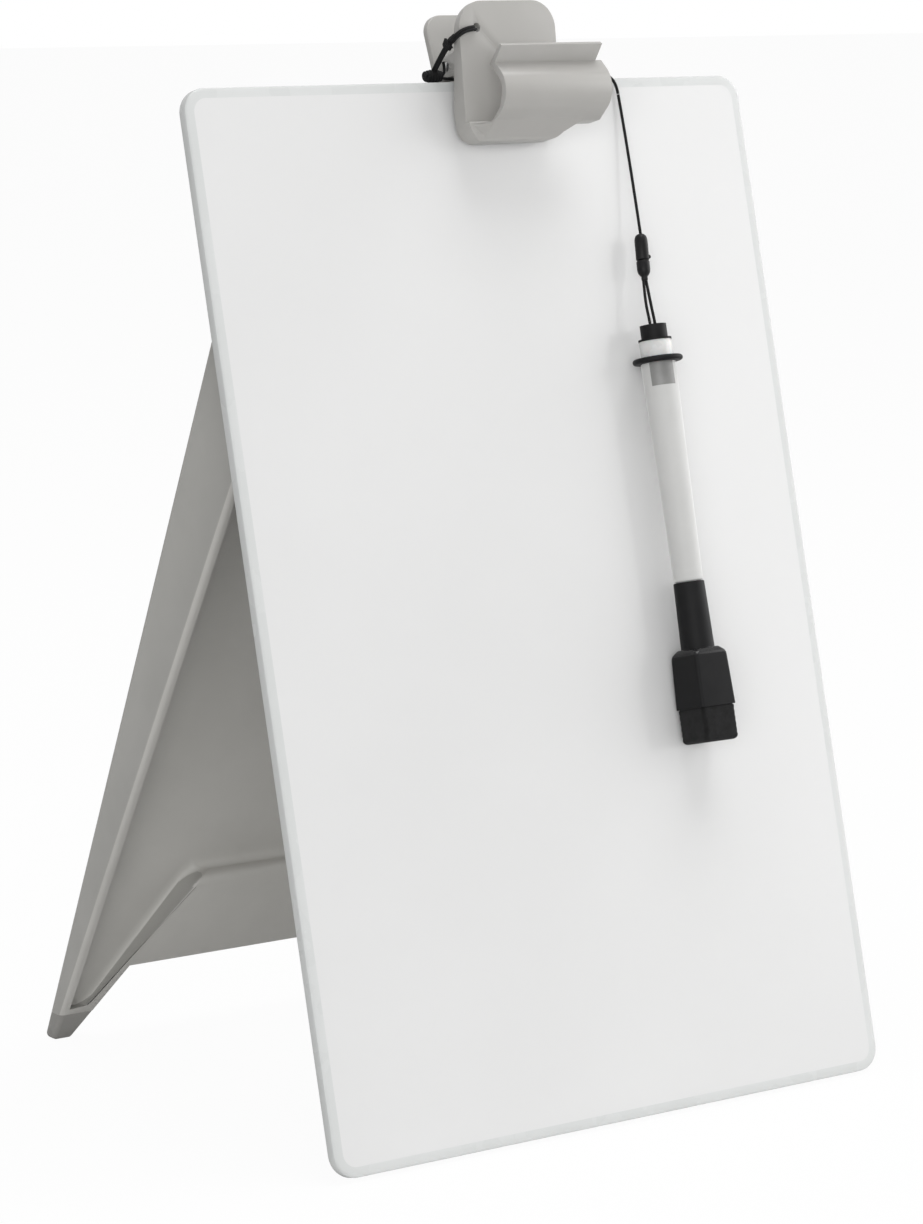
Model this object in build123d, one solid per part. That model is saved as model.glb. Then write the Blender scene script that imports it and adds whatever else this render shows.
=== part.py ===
"""Desk whiteboard easel: a glass board on a folding stand, with a clip, a tether and a pen.

Millimetres, +Z up. The origin is on the desk, at the middle of the easel's footprint.
The board's own frame has x to the right, y backwards from the glass face and z up the
glass from its bottom edge. Points given as (n, t) lie n in front of the glass face and
t up from the glass's bottom edge.
"""
import os
from math import cos, degrees, radians, sin, tan

from build123d import *

# board
board_width = 220.0
board_height = 340.0
board_lean = 14.2
board_corner = 8.0
glass_thickness = 4.0
glass_arris = 0.8
glass_lift = 1.6
steel_thickness = 0.5
steel_inset = 5.0

# back shell
shell_width = 200.0
shell_bottom = 8.0
shell_top = 312.0
shell_depth = 8.0
shell_wall = 2.2
shell_corner = 10.0
shell_edge = 2.0
tape_thickness = 0.8
tape_width = 14.0
tape_heights = (60.0, 160.0, 260.0)
tape_end_gap = 4.0
rib_thickness = 1.6
bumper_length = 25.0
bumper_outer_x = 95.0
bumper_side_gap = 0.4

# stand
stand_width = 198.0
stand_reach = 202.3
stand_lean = 24.6
side_taper = 5.75
foot_depth = 6.4
side_wall = 3.0
stand_skin = 2.5
stand_edge = 2.0
foot_round = 1.6
hollow_bottom = 12.0
beam_top = 60.5
beam_side = 11.5
beam_flank = 29.1
arch_top = 26.8
foot_width = 7.0
arch_flank = 15.3
cap_height = 10.0
cap_wall = 1.6
tenon_bottom = 3.0

# stand hinge
hinge_radius = 6.0
fold_gap = 0.3
pin_radius = 2.0
pin_play = 0.06
pin_end_skin = 0.6
bracket_side_gap = 0.7
bracket_width = 11.8
bracket_base = 2.0
bracket_half = 15.0
lug_radius = 5.5
screw_spacing = 21.0
screw_radius = 1.5
screw_head_radius = 2.8
screw_head = 1.7
screw_reach = 7.5
boss_radius = 3.2
bracket_clearance = 2.0

# clip
clip_x = 8.3
plate_width = 38.2
plate_bottom = 318.7
plate_top = 363.3
plate_top_corner = 9.0
plate_low_corner = 5.5
panel_n = 8.3
panel_tilt = 6.9
ledge_top = 324.8
ledge_depth = 2.0
ledge_round = 0.5
ledge_slope = 1.8
jaw_back = 2.5
jaw_back_top = 329.0
plate_back_tilt = 13.8
plate_skin = 2.2
plate_skirt = 1.8
pocket_bottom = 331.0
pocket_top = 357.5
rear_width = 31.4
rear_bottom = 319.8
rear_top = 364.4
rear_corner = 6.5
rear_tilt = 7.2
rear_thickness = 2.4
pad_thickness = 1.0
pad_bottom = 320.4
pad_top = 327.0
pad_side = 5.0
grip_gap = 0.3
pivot_n = -2.5
pivot_t = 345.3
ear_radius = 3.4
ear_thickness = 2.2
ear_gap = 0.3
ear_foot = 341.9
ear_root = 350.0
ear_back = -5.9
clip_pin_radius = 1.5
clip_pin_end = 0.2
spring_inner = 1.8
spring_outer = 3.0
spring_length = 15.0
spring_wire = 1.2
spring_foot_t = 355.0
cord_hole_x = -4.0
cord_hole_t = 354.8
cord_hole_radius = 1.5

# pen trough on the clip
trough_left = -5.0
trough_right = 37.5
trough_n = 16.0
trough_t = 333.4
trough_radius = 6.2
trough_wall = 2.3
trough_turn = 35.0
floor_under = 323.1
floor_wall = 1.0
floor_n = 15.3
floor_turn = -59.0
throat_n = 20.5
throat_t = 341.6
throat_wall = 2.8
lip_n = 25.3
lip_t = 346.0
lip_wall = 1.6
lip_end_cut = 2.3

# tether
cord_diameter = 0.9
strand_pitch = 1.1
knot_radius = 1.95
knot_left = -16.5
knot_right = -8.9
knot_t = 342.4
knot_n = -3.6
tail_radius = 0.5
hitch_radius = 1.6
connector_radius = 2.1
socket_share = 0.56
peg_radius = 1.2
peg_play = 0.05
peg_length = 4.5
joint_gap = 0.3

# pen
pen_x = 52.3
pen_slant = 0.35
pen_rest_gap = 0.3
pen_top = 255.7
rim_bottom = 250.4
rim_thickness = 0.7
rim_radius = 5.5
plug_radius = 4.4
slot_half_width = 3.2
slot_half_depth = 0.8
slot_depth = 4.3
bar_radius = 0.5
bar_drop = 2.2
spigot_length = 5.5
ring_radius = 8.35
ring_thickness = 1.9
ring_seat = 243.1
neck_radius = 5.35
barrel_radius = 5.75
barrel_low_radius = 4.85
barrel_bottom = 170.5
barrel_bore = 4.2
nose_radius = 3.95
nose_bottom = 156.0
nose_bore = 3.2
bore_bottom = 172.5
nib_radius = 1.2
nib_tip = 149.0
nib_cone_bottom = 151.0
nib_cone_radius = 1.9
nib_seat = 165.5
sleeve_gap = 0.3
sleeve_top_radius = 5.15
sleeve_low_radius = 5.55
cap_play = 0.1
cap_bore_bottom = 147.0
block_top = 148.2
block_bottom = 128.7
block_width = 13.4
block_depth = 13.8
block_flare = 1.3
block_shoulder = 2.2
block_wall = 1.2
block_hollow_top = 142.0
felt_bottom = 117.1
felt_inset = 0.3
felt_tenon = 2.0
magnet_radius = 4.5
magnet_thickness = 2.5

# derived places
lean = radians(board_lean)
rear_lean = radians(stand_lean)
rim_lean = radians(stand_lean + side_taper)
steel_back = glass_thickness + steel_thickness
board_back = steel_back + shell_depth
stop_depth = board_back + fold_gap
hinge_depth = stop_depth + hinge_radius
half_stand = stand_width / 2
beam_foot_half = half_stand - beam_side
beam_top_half = beam_foot_half - beam_flank
arch_foot_half = half_stand - foot_width
arch_top_half = arch_foot_half - arch_flank
pen_n = ring_radius + pen_rest_gap
through = 400.0


def leaned(y, z):
    """Easel (y, z) of the board-frame point (y, z), before centring."""
    return (y * cos(lean) + z * sin(lean), z * cos(lean) - y * sin(lean) + glass_lift)


def place(shape):
    """Centre a shape of the easel over the origin."""
    return shape.translate((0, -stand_reach / 2, 0))


def on_board(shape):
    """Take a shape from the board's frame to the easel's."""
    return place(shape.rotate(Axis.X, -board_lean).translate((0, 0, glass_lift)))


def hung(shape):
    """Take a piece of the pen to the easel's frame, turned a little about its loop's bar."""
    bar_axis = Axis((pen_x, -pen_n, bar_t), (0, 1, 0))
    return on_board(shape.rotate(bar_axis, pen_slant))


def crossing(p, d, q, e):
    """Where the line through p along d meets the line through q along e."""
    share = ((q[0] - p[0]) * e[1] - (q[1] - p[1]) * e[0]) / (d[0] * e[1] - d[1] * e[0])
    return (p[0] + share * d[0], p[1] + share * d[1])


def bar(points, low_x, high_x, rounds=()):
    """A bar along x with (y, z) corners; rounds lists (corner index, radius)."""
    corners = [(low_x, y, z) for y, z in points]
    face = make_face(Polyline(*corners, close=True)).face()
    for index, radius in rounds:
        corner = face.vertices().sort_by_distance(corners[index])[0]
        face = face.fillet_2d(radius, [corner])
    return extrude(face, high_x - low_x, dir=(1, 0, 0))


def front_bar(points, low_x, high_x, rounds=()):
    """A bar along x whose corners are (n, t) points."""
    return bar([(-n, t) for n, t in points], low_x, high_x, rounds)


def prism(points, low_y, high_y):
    """A prism along y with (x, z) corners."""
    face = make_face(Polyline(*[(x, low_y, z) for x, z in points], close=True)).face()
    return extrude(face, high_y - low_y, dir=(0, 1, 0))


def block(low, high):
    """A box between two opposite corners."""
    size = [b - a for a, b in zip(low, high)]
    centre = [(a + b) / 2 for a, b in zip(low, high)]
    return Pos(*centre) * Box(*size)


def rod(start, end, radius):
    """A round bar between two points."""
    axis = Vector(*end) - Vector(*start)
    disc = Plane(origin=start, z_dir=axis) * Circle(radius)
    return extrude(disc, axis.length, dir=axis.normalized())


def rounded_slab(low, high, radius):
    """A slab, thin along y, whose four corners seen from the front are rounded."""
    slab = block(low, high)
    return fillet(slab.edges().filter_by(Axis.Y), radius)


def turned(points):
    """A piece turned about the pen's axis from (radius, height) corners."""
    face = make_face(Polyline(*[(r, 0, z) for r, z in points], close=True)).face()
    return Pos(pen_x, -pen_n, 0) * revolve(face, Axis.Z)


def corner_radii(points):
    """The largest tangent arc that each corner of a cord's route has room for."""
    radii = []
    for before, here, after in zip(points, points[1:], points[2:]):
        first = here - before
        second = after - here
        half_turn = radians(first.get_angle(second)) / 2
        radii.append(0.45 * min(first.length, second.length) / tan(half_turn))
    return radii


def tube(name, route, tight=()):
    """A cord along (x, t, n) points; tight gives (corner index, radius) where it is small."""
    points = [Vector(x, -n, t) for x, t, n in route]
    radii = corner_radii(points)
    for index, radius in tight:
        radii[index] = radius
    path = FilletPolyline(*points, radius=radii)
    solid = sweep(Plane(origin=path @ 0, z_dir=path % 0) * Circle(cord_diameter / 2), path)
    print(f"{name}: {path.length:.1f} mm, radii {[round(r, 1) for r in radii]}")
    return solid


def mirrored(solid):
    """The solid and its mirror image on the other side of the easel."""
    return [solid, solid.mirror(Plane.YZ)]


# board pieces, in the board's frame


def glass_panel():
    half = board_width / 2
    panel = rounded_slab((-half, 0, 0), (half, glass_thickness, board_height), board_corner)
    rims = panel.faces().filter_by(Axis.Y).edges()
    return chamfer(rims, glass_arris)


def steel_backing_sheet():
    half = board_width / 2 - steel_inset
    low = (-half, glass_thickness, steel_inset)
    high = (half, steel_back, board_height - steel_inset)
    return rounded_slab(low, high, board_corner - steel_inset)


def foam_tape_strips():
    half = shell_width / 2 - shell_wall - tape_end_gap
    strips = []
    for height in tape_heights:
        low = (-half, steel_back, height - tape_width / 2)
        high = (half, steel_back + tape_thickness, height + tape_width / 2)
        strips.append(block(low, high))
    return strips


def screw_places():
    """Board-frame (x, z) of the screws of the right bracket."""
    x = half_stand - side_wall - bracket_side_gap - bracket_width / 2
    return [(x, hinge_height + side * screw_spacing / 2) for side in (-1, 1)]


def back_shell():
    half = shell_width / 2
    shell = rounded_slab((-half, steel_back, shell_bottom), (half, board_back, shell_top), shell_corner)
    shell = fillet(shell.faces().sort_by(Axis.Y)[-1].edges(), shell_edge)
    inner = half - shell_wall
    floor = board_back - shell_wall
    low = (-inner, steel_back - 1, shell_bottom + shell_wall)
    high = (inner, floor, shell_top - shell_wall)
    shell -= rounded_slab(low, high, shell_corner - shell_wall)
    rib_front = steel_back + tape_thickness
    for height in tape_heights:
        for side in (-1, 1):
            centre = height + side * (tape_width / 2 - rib_thickness)
            low = (-inner, rib_front, centre - rib_thickness / 2)
            high = (inner, floor, centre + rib_thickness / 2)
            shell += block(low, high)
    for x, z in screw_places():
        for side in (-1, 1):
            end = (side * x, screw_reach - 1, z)
            shell += rod(end, (side * x, floor, z), boss_radius)
            shell -= rod((side * x, screw_reach, z), (side * x, board_back, z), screw_radius)
    return shell


def board_bumpers():
    front = steel_back + bumper_side_gap
    back = board_back - shell_edge - bumper_side_gap
    floor = [(y * sin(lean) - glass_lift) / cos(lean) for y in (front, back)]
    corners = [(front, shell_bottom), (back, shell_bottom), (back, floor[1]), (front, floor[0])]
    return mirrored(bar(corners, bumper_outer_x - bumper_length, bumper_outer_x))


def hinge_brackets():
    outer = half_stand - side_wall - bracket_side_gap
    inner = outer - bracket_width
    low = (inner, board_back, hinge_height - bracket_half)
    bracket = block(low, (outer, board_back + bracket_base, hinge_height + bracket_half))
    web = [
        (board_back + bracket_base, hinge_height - lug_radius),
        (board_back + bracket_base, hinge_height + lug_radius),
        (hinge_depth, hinge_height + lug_radius),
        (hinge_depth, hinge_height - lug_radius),
    ]
    bracket += bar(web, inner, outer)
    bracket += rod((inner, hinge_depth, hinge_height), (outer, hinge_depth, hinge_height), lug_radius)
    bracket -= rod((inner, hinge_depth, hinge_height), (outer, hinge_depth, hinge_height), pin_radius)
    for x, z in screw_places():
        bracket -= rod((x, board_back, z), (x, board_back + bracket_base, z), screw_radius)
    return mirrored(bracket)


def bracket_screws():
    screws = []
    seat = board_back + bracket_base
    for x, z in screw_places():
        screw = rod((x, screw_reach, z), (x, seat, z), screw_radius)
        screw += rod((x, seat, z), (x, seat + screw_head, z), screw_head_radius)
        screws += mirrored(screw)
    return screws


def hinge_pins():
    inner = half_stand - side_wall - bracket_side_gap - bracket_width
    outer = half_stand - pin_end_skin - pin_play
    return mirrored(rod((inner, hinge_depth, hinge_height), (outer, hinge_depth, hinge_height), pin_radius))


# stand pieces, in the easel's frame before centring

rear_line = ((stand_reach, 0), (-sin(rear_lean), cos(rear_lean)))
rim_line = ((stand_reach - foot_depth, 0), (-sin(rim_lean), cos(rim_lean)))
stop_line = (leaned(stop_depth, 0), (sin(lean), cos(lean)))


def shifted(line, distance, normal):
    """A line moved by a distance along a normal."""
    point, direction = line
    return ((point[0] + distance * normal[0], point[1] + distance * normal[1]), direction)


rear_inward = (-cos(rear_lean), -sin(rear_lean))
rim_inward = (cos(rim_lean), sin(rim_lean))
stop_inward = (cos(lean), -sin(lean))
hinge_place = crossing(
    *shifted(rim_line, hinge_radius, rim_inward),
    *shifted(stop_line, hinge_radius, stop_inward),
)
hinge_height = (hinge_place[0] - leaned(hinge_depth, 0)[0]) / sin(lean)


def at_height(line, z):
    """Where a stand line crosses a height."""
    return crossing(*line, (0, z), (1, 0))


def wedge():
    """The stand's outer shape: deep at the hinge end, slim at the feet."""
    corners = [
        rear_line[0],
        rim_line[0],
        crossing(*rim_line, *stop_line),
        crossing(*rear_line, *stop_line),
    ]
    rounds = ((0, foot_round), (1, foot_round), (2, hinge_radius), (3, stand_edge))
    solid = bar(corners, -half_stand, half_stand, rounds)
    middle = at_height(rear_line, board_height / 2)
    long_edges = solid.edges().sort_by_distance((half_stand, *middle))[:1]
    long_edges += solid.edges().sort_by_distance((-half_stand, *middle))[:1]
    solid = fillet(long_edges, stand_edge)
    arch = [
        (-arch_top_half, arch_top),
        (arch_top_half, arch_top),
        (arch_foot_half, 0),
        (arch_foot_half, -1),
        (-arch_foot_half, -1),
        (-arch_foot_half, 0),
    ]
    return solid - prism(arch, 0, through)


def stand_hollow():
    """The space inside the tray, open at the front."""
    skin = shifted(rear_line, stand_skin, rear_inward)
    top = shifted(stop_line, stand_skin, stop_inward)
    wall_end = hinge_height + bracket_half + bracket_clearance
    corners = [
        at_height(skin, hollow_bottom),
        crossing(*skin, *top),
        leaned(stop_depth + stand_skin, wall_end),
        leaned(0, wall_end),
        leaned(0, hollow_bottom),
    ]
    inner = half_stand - side_wall
    return bar(corners, -inner, inner)


def foot_box():
    return block((-half_stand - 1, 0, -1), (half_stand + 1, through, cap_height))


def foot_tenon():
    skin = shifted(rear_line, cap_wall, rear_inward)
    face = shifted(rim_line, cap_wall, rim_inward)
    heights = (tenon_bottom, cap_height)
    corners = [at_height(skin, heights[0]), at_height(face, heights[0])]
    corners += [at_height(face, heights[1]), at_height(skin, heights[1])]
    return bar(corners, arch_foot_half - cap_wall / 2, half_stand - cap_wall)


def stand():
    shell = wedge()
    frame = [
        (-beam_top_half, beam_top),
        (beam_top_half, beam_top),
        (beam_foot_half, hollow_bottom),
        (half_stand, hollow_bottom),
        (half_stand, 0),
        (-half_stand, 0),
        (-half_stand, hollow_bottom),
        (-beam_foot_half, hollow_bottom),
    ]
    solid = shell - (stand_hollow() - prism(frame, 0, through))
    outer = half_stand - pin_end_skin
    for side in (-1, 1):
        solid -= rod((0, *hinge_place), (side * outer, *hinge_place), pin_radius + pin_play)
    solid -= foot_box()
    for tenon in mirrored(foot_tenon()):
        solid += tenon
    return solid


def foot_caps():
    caps = wedge() & foot_box()
    for tenon in mirrored(foot_tenon()):
        caps -= tenon
    return caps.solids()


# clip pieces, in the board's frame


def panel_front(t):
    return panel_n + tan(radians(panel_tilt)) * (t - ledge_top)


def plate_back(t):
    return jaw_back + tan(radians(plate_back_tilt)) * (t - jaw_back_top)


def rear_inside(t):
    return -(steel_back + grip_gap + pad_thickness) - tan(radians(rear_tilt)) * (t - rear_bottom)


def rounded_outline(low_x, high_x, low_t, high_t, top_radius, low_radius):
    """A deep block whose outline seen from the front has rounded corners."""
    outline = block((low_x, -through / 4, low_t), (high_x, through / 4, high_t))
    corners = outline.edges().filter_by(Axis.Y).sort_by(Axis.Z)
    outline = fillet(corners[2:], top_radius)
    corners = outline.edges().filter_by(Axis.Y).filter_by(GeomType.LINE).sort_by(Axis.Z)
    return fillet(corners[:2], low_radius)


def ears(inner_x, points):
    """Two ears either side of the clip's middle, with their pivot bosses."""
    low = inner_x - ear_thickness
    ear = front_bar(points, low, inner_x)
    ear += rod((low, -pivot_n, pivot_t), (inner_x, -pivot_n, pivot_t), ear_radius)
    return Pos(clip_x, 0, 0) * Compound([ear, ear.mirror(Plane.YZ)])


def clip_bore(radius):
    half = rear_width / 2
    return rod((clip_x - half, -pivot_n, pivot_t), (clip_x + half, -pivot_n, pivot_t), radius)


def trough_ring(radius, turn):
    """A point of the trough's round wall, at an angle up from its front."""
    angle = radians(turn)
    return (trough_n + radius * cos(angle), trough_t + radius * sin(angle))


def pen_trough():
    """The springy channel that holds the pen, open at the top behind a flared lip."""
    outer = trough_radius + trough_wall
    left = (trough_left, -trough_n, trough_t)
    right = (trough_right, -trough_n, trough_t)
    root = panel_n + ledge_depth / 2
    underside = [
        (root, floor_under),
        (floor_n, floor_under),
        trough_ring(outer, floor_turn),
        (trough_n, trough_t),
        (root, trough_t),
    ]
    trough = front_bar(underside, trough_left, trough_right) + rod(left, right, outer)
    throat_inner = (throat_n - throat_wall, throat_t + 0.2)
    inside = [
        (0, floor_under + floor_wall),
        (floor_n - floor_wall / 2, floor_under + floor_wall),
        trough_ring(trough_radius + floor_wall, floor_turn),
        trough_ring(trough_radius, floor_turn / 2),
        (trough_n, trough_t),
        trough_ring(trough_radius, trough_turn),
        throat_inner,
        (lip_n, plate_top),
        (0, plate_top),
    ]
    trough -= rod(left, right, trough_radius) + front_bar(inside, trough_left, trough_right)
    wall = [
        trough_ring(outer, trough_turn),
        (throat_n, throat_t),
        throat_inner,
        trough_ring(trough_radius, trough_turn),
    ]
    lip = [
        (throat_n, throat_t),
        (lip_n, lip_t),
        (lip_n - lip_wall * 0.6, lip_t + lip_wall * 0.5),
        throat_inner,
    ]
    trough += front_bar(wall, trough_left, trough_right)
    return trough + front_bar(lip, trough_left, trough_right - lip_end_cut)


def clip_front_jaw():
    half = plate_width / 2
    low_x = clip_x - half
    high_x = clip_x + half
    section = [
        (jaw_back, plate_bottom),
        (panel_n + ledge_depth - ledge_slope, plate_bottom),
        (panel_n + ledge_depth, plate_bottom + ledge_slope),
        (panel_n + ledge_depth, ledge_top - ledge_round),
        (panel_n + ledge_depth - ledge_round, ledge_top),
        (panel_n, ledge_top),
        (panel_front(plate_top), plate_top),
        (plate_back(plate_top), plate_top),
        (jaw_back, jaw_back_top),
    ]
    plate = front_bar(section, low_x, high_x)
    pocket = [
        (0, pocket_bottom),
        (panel_front(pocket_bottom) - plate_skin, pocket_bottom),
        (panel_front(pocket_top) - plate_skin, pocket_top),
        (0, pocket_top),
    ]
    plate -= front_bar(pocket, low_x + plate_skirt, high_x - plate_skirt)
    plate &= rounded_outline(low_x, high_x, plate_bottom, plate_top, plate_top_corner, plate_low_corner)
    front_ears = [
        (panel_front(ear_foot) - plate_skin, ear_foot),
        (panel_front(ear_root) - plate_skin, ear_root),
        (pivot_n, pivot_t + ear_radius),
        (ear_back, pivot_t),
        (ear_back, ear_foot),
    ]
    jaw = plate + ears(-(rear_width / 2 - ear_thickness), front_ears) + pen_trough()
    jaw -= clip_bore(clip_pin_radius)
    mouth = (cord_hole_x, -panel_front(cord_hole_t) - 1, cord_hole_t)
    return jaw - rod(mouth, (cord_hole_x, 0, cord_hole_t), cord_hole_radius)


def clip_rear_jaw():
    half = rear_width / 2
    section = [
        (rear_inside(rear_bottom), rear_bottom),
        (rear_inside(rear_top), rear_top),
        (rear_inside(rear_top) - rear_thickness, rear_top),
        (rear_inside(rear_bottom) - rear_thickness, rear_bottom),
    ]
    plate = front_bar(section, clip_x - half, clip_x + half)
    plate &= rounded_outline(
        clip_x - half, clip_x + half, rear_bottom, rear_top, rear_corner, rear_corner / 2
    )
    rear_ears = [
        (rear_inside(ear_foot), ear_foot),
        (rear_inside(ear_root), ear_root),
        (pivot_n, pivot_t + ear_radius),
        (pivot_n, pivot_t - ear_radius),
    ]
    inner_x = -(rear_width / 2 - 2 * ear_thickness - ear_gap)
    return plate + ears(inner_x, rear_ears) - clip_bore(clip_pin_radius + pin_play)


def clip_pivot_pin():
    reach = rear_width / 2 + clip_pin_end
    start = (clip_x - reach, -pivot_n, pivot_t)
    return rod(start, (clip_x + reach, -pivot_n, pivot_t), clip_pin_radius)


def clip_spring():
    """A torsion spring: its closed coil as a sleeve, and its two legs."""
    left = clip_x - spring_length / 2
    right = clip_x + spring_length / 2
    coil = rod((left, -pivot_n, pivot_t), (right, -pivot_n, pivot_t), spring_outer)
    root_t = pivot_t + (spring_inner + spring_outer) / 2
    front_foot = panel_front(spring_foot_t) - plate_skin - spring_wire / 2
    rear_foot = rear_inside(spring_foot_t) + grip_gap + spring_wire / 2
    for x, foot in ((left + spring_wire, front_foot), (right - spring_wire, rear_foot)):
        coil += rod((x, -pivot_n, root_t), (x, -foot, spring_foot_t), spring_wire / 2)
    return coil - rod((left, -pivot_n, pivot_t), (right, -pivot_n, pivot_t), spring_inner)


def grip_pad(width, face, back_low, back_top):
    """A rubber pad between a jaw and the board."""
    corners = [(face, pad_bottom), (face, pad_top), (back_top, pad_top), (back_low, pad_bottom)]
    half = width / 2 - pad_side
    return front_bar(corners, clip_x - half, clip_x + half)


def front_grip_pad():
    return grip_pad(plate_width, grip_gap, jaw_back, jaw_back)


def rear_grip_pad():
    face = -steel_back - grip_gap
    return grip_pad(rear_width, face, rear_inside(pad_bottom), rear_inside(pad_top))


# tether, in the board's frame: routes are (x, t, n) points

strand_route = [
    (-12.5, 343.9, -3.2),
    (-13.0, 347.4, 2.7),
    (-13.4, 349.9, 7.6),
    (-13.0, 352.0, 12.4),
    (-9.7, 353.85, 13.2),
    (cord_hole_x, cord_hole_t, 12.7),
    (cord_hole_x, cord_hole_t, 6.6),
    (-8.6, 353.9, 6.2),
    (-12.2, 351.2, 7.0),
]
strand_step = (-0.6, 0.8)
hitch_place = (-13.5, 350.2, 8.0)
tail_end = (-8.7, 347.0, -2.4)
run_route = [
    (-9.8, 341.75, -3.0),
    (-4.0, 340.95, -2.6),
    (6.0, 340.9, -2.0),
    (23.0, 340.98, -1.8),
    (40.0, 340.9, -1.5),
    (49.0, 340.98, -0.9),
    (57.4, 340.8, 1.0),
    (57.5, 334.3, 1.3),
]
drop_route = [
    (57.5, 334.0, 1.3),
    (57.5, 316.5, 2.3),
    (54.95, 285.9, 5.75),
]
connector_top = (54.9, 286.4, 5.7)
connector_bottom = (53.0, 270.7, 6.9)
bar_t = pen_top - bar_drop
loop_half = bar_radius + cord_diameter / 2 + peg_play
neck_x = 53.05
neck_half = 0.48
pen_loop_route = [
    (neck_x - neck_half, 271.4, 6.85),
    (51.4, 263.5, 7.6),
    (pen_x - loop_half, 257.0, pen_n),
    (pen_x - loop_half, bar_t - loop_half, pen_n),
    (pen_x + loop_half, bar_t - loop_half, pen_n),
    (pen_x + loop_half, 257.0, pen_n),
    (53.5, 263.5, 7.6),
    (neck_x + neck_half, 271.4, 6.85),
]


def board_point(x, t, n):
    return Vector(x, -n, t)


def loop_strand(side):
    """One of the two strands, which lie one above the other."""
    step_x, step_t = (side * strand_pitch / 2 * step for step in strand_step)
    route = [(x + step_x, t + step_t, n) for x, t, n in strand_route]
    return tube("loop strand", route)


def loop_hitch():
    return Pos(board_point(*hitch_place)) * Sphere(hitch_radius)


def tether_knot():
    left = board_point(knot_left + knot_radius, knot_t, knot_n)
    right = board_point(knot_right - knot_radius, knot_t, knot_n)
    knot = rod(tuple(left), tuple(right), knot_radius)
    knot += Pos(left) * Sphere(knot_radius) + Pos(right) * Sphere(knot_radius)
    return knot + rod(tuple(right), tuple(board_point(*tail_end)), tail_radius)


def connector_split():
    top = board_point(*connector_top)
    return top + (board_point(*connector_bottom) - top) * socket_share


def connector_axis():
    return (board_point(*connector_bottom) - board_point(*connector_top)).normalized()


def connector_socket():
    top = board_point(*connector_top)
    split = connector_split()
    body = rod(tuple(top), tuple(split), connector_radius)
    body = fillet(body.edges().sort_by(Axis.Z)[-1], connector_radius * 0.7)
    return body - rod(tuple(split - connector_axis() * peg_length), tuple(split), peg_radius + peg_play)


def connector_plug():
    start = connector_split() + connector_axis() * joint_gap
    body = rod(tuple(start), tuple(board_point(*connector_bottom)), connector_radius)
    body = fillet(body.edges().sort_by(Axis.Z)[0], connector_radius * 0.7)
    return body + rod(tuple(start - connector_axis() * peg_length), tuple(start), peg_radius)


# pen pieces, in the board's frame


def pen_end_plug():
    rim_top = rim_bottom + rim_thickness
    plug = turned(
        [
            (0, rim_bottom - spigot_length),
            (barrel_bore, rim_bottom - spigot_length),
            (barrel_bore, rim_bottom),
            (rim_radius, rim_bottom),
            (rim_radius, rim_top),
            (plug_radius, rim_top),
            (plug_radius, pen_top),
            (0, pen_top),
        ]
    )
    slot_low = (pen_x - slot_half_width, -pen_n - slot_half_depth, pen_top - slot_depth)
    slot_high = (pen_x + slot_half_width, -pen_n + slot_half_depth, pen_top + 1)
    plug -= block(slot_low, slot_high)
    reach = slot_half_depth + slot_half_depth / 2
    return plug + rod((pen_x, -pen_n - reach, bar_t), (pen_x, -pen_n + reach, bar_t), bar_radius)


def pen_guard_ring():
    top = ring_seat + ring_thickness
    corners = [(neck_radius, ring_seat), (ring_radius, ring_seat), (ring_radius, top), (neck_radius, top)]
    ring = turned(corners)
    outer_edges = ring.edges().filter_by(GeomType.CIRCLE).sort_by(SortBy.RADIUS)[-2:]
    return fillet(outer_edges, ring_thickness * 0.4)


def pen_barrel():
    return turned(
        [
            (neck_radius, rim_bottom),
            (neck_radius, ring_seat),
            (barrel_radius, ring_seat),
            (barrel_low_radius, barrel_bottom),
            (nose_radius, barrel_bottom),
            (nose_radius, nose_bottom),
            (nose_bore, nose_bottom),
            (nose_bore, nib_seat),
            (nose_bore, bore_bottom),
            (barrel_bore, bore_bottom),
            (barrel_bore, rim_bottom),
        ]
    )


def ink_reservoir():
    top = rim_bottom - spigot_length
    return turned([(0, bore_bottom), (barrel_bore, bore_bottom), (barrel_bore, top), (0, top)])


def nib_holder():
    return turned(
        [
            (nib_radius, nib_cone_bottom),
            (nib_cone_radius, nib_cone_bottom),
            (nose_bore, nose_bottom),
            (nose_bore, nib_seat),
            (nib_radius, nib_seat),
        ]
    )


def felt_nib():
    tip = nib_radius / 2
    corners = [(0, nib_tip), (tip, nib_tip), (nib_radius, nib_tip + tip), (nib_radius, bore_bottom), (0, bore_bottom)]
    return turned(corners)


def cap_block():
    """The square eraser holder, a little wider at its open end."""
    height = block_top - block_bottom
    face = Plane(origin=(pen_x, -pen_n, block_top)) * Rectangle(block_width, block_depth)
    solid = extrude(face, height, dir=(0, 0, -1), taper=-block_flare)
    solid = chamfer(solid.faces().sort_by(Axis.Z)[-1].edges(), block_shoulder, block_shoulder * 0.75)
    return solid


def pen_cap():
    sleeve_top = barrel_bottom - sleeve_gap
    cap = cap_block()
    cap += turned([(0, cap_bore_bottom), (sleeve_low_radius, block_top), (sleeve_top_radius, sleeve_top), (0, sleeve_top)])
    bore = nose_radius + cap_play
    cap -= turned([(0, cap_bore_bottom), (bore, cap_bore_bottom), (bore, sleeve_top), (0, sleeve_top)])
    half_x = block_width / 2 - block_wall
    half_y = block_depth / 2 - block_wall
    low = (pen_x - half_x, -pen_n - half_y, block_bottom)
    return cap - block(low, (pen_x + half_x, -pen_n + half_y, block_hollow_top))


def cap_magnet():
    back = -pen_n + block_depth / 2 - block_wall
    height = block_hollow_top - magnet_radius - 1
    return rod((pen_x, back - magnet_thickness, height), (pen_x, back, height), magnet_radius)


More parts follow.
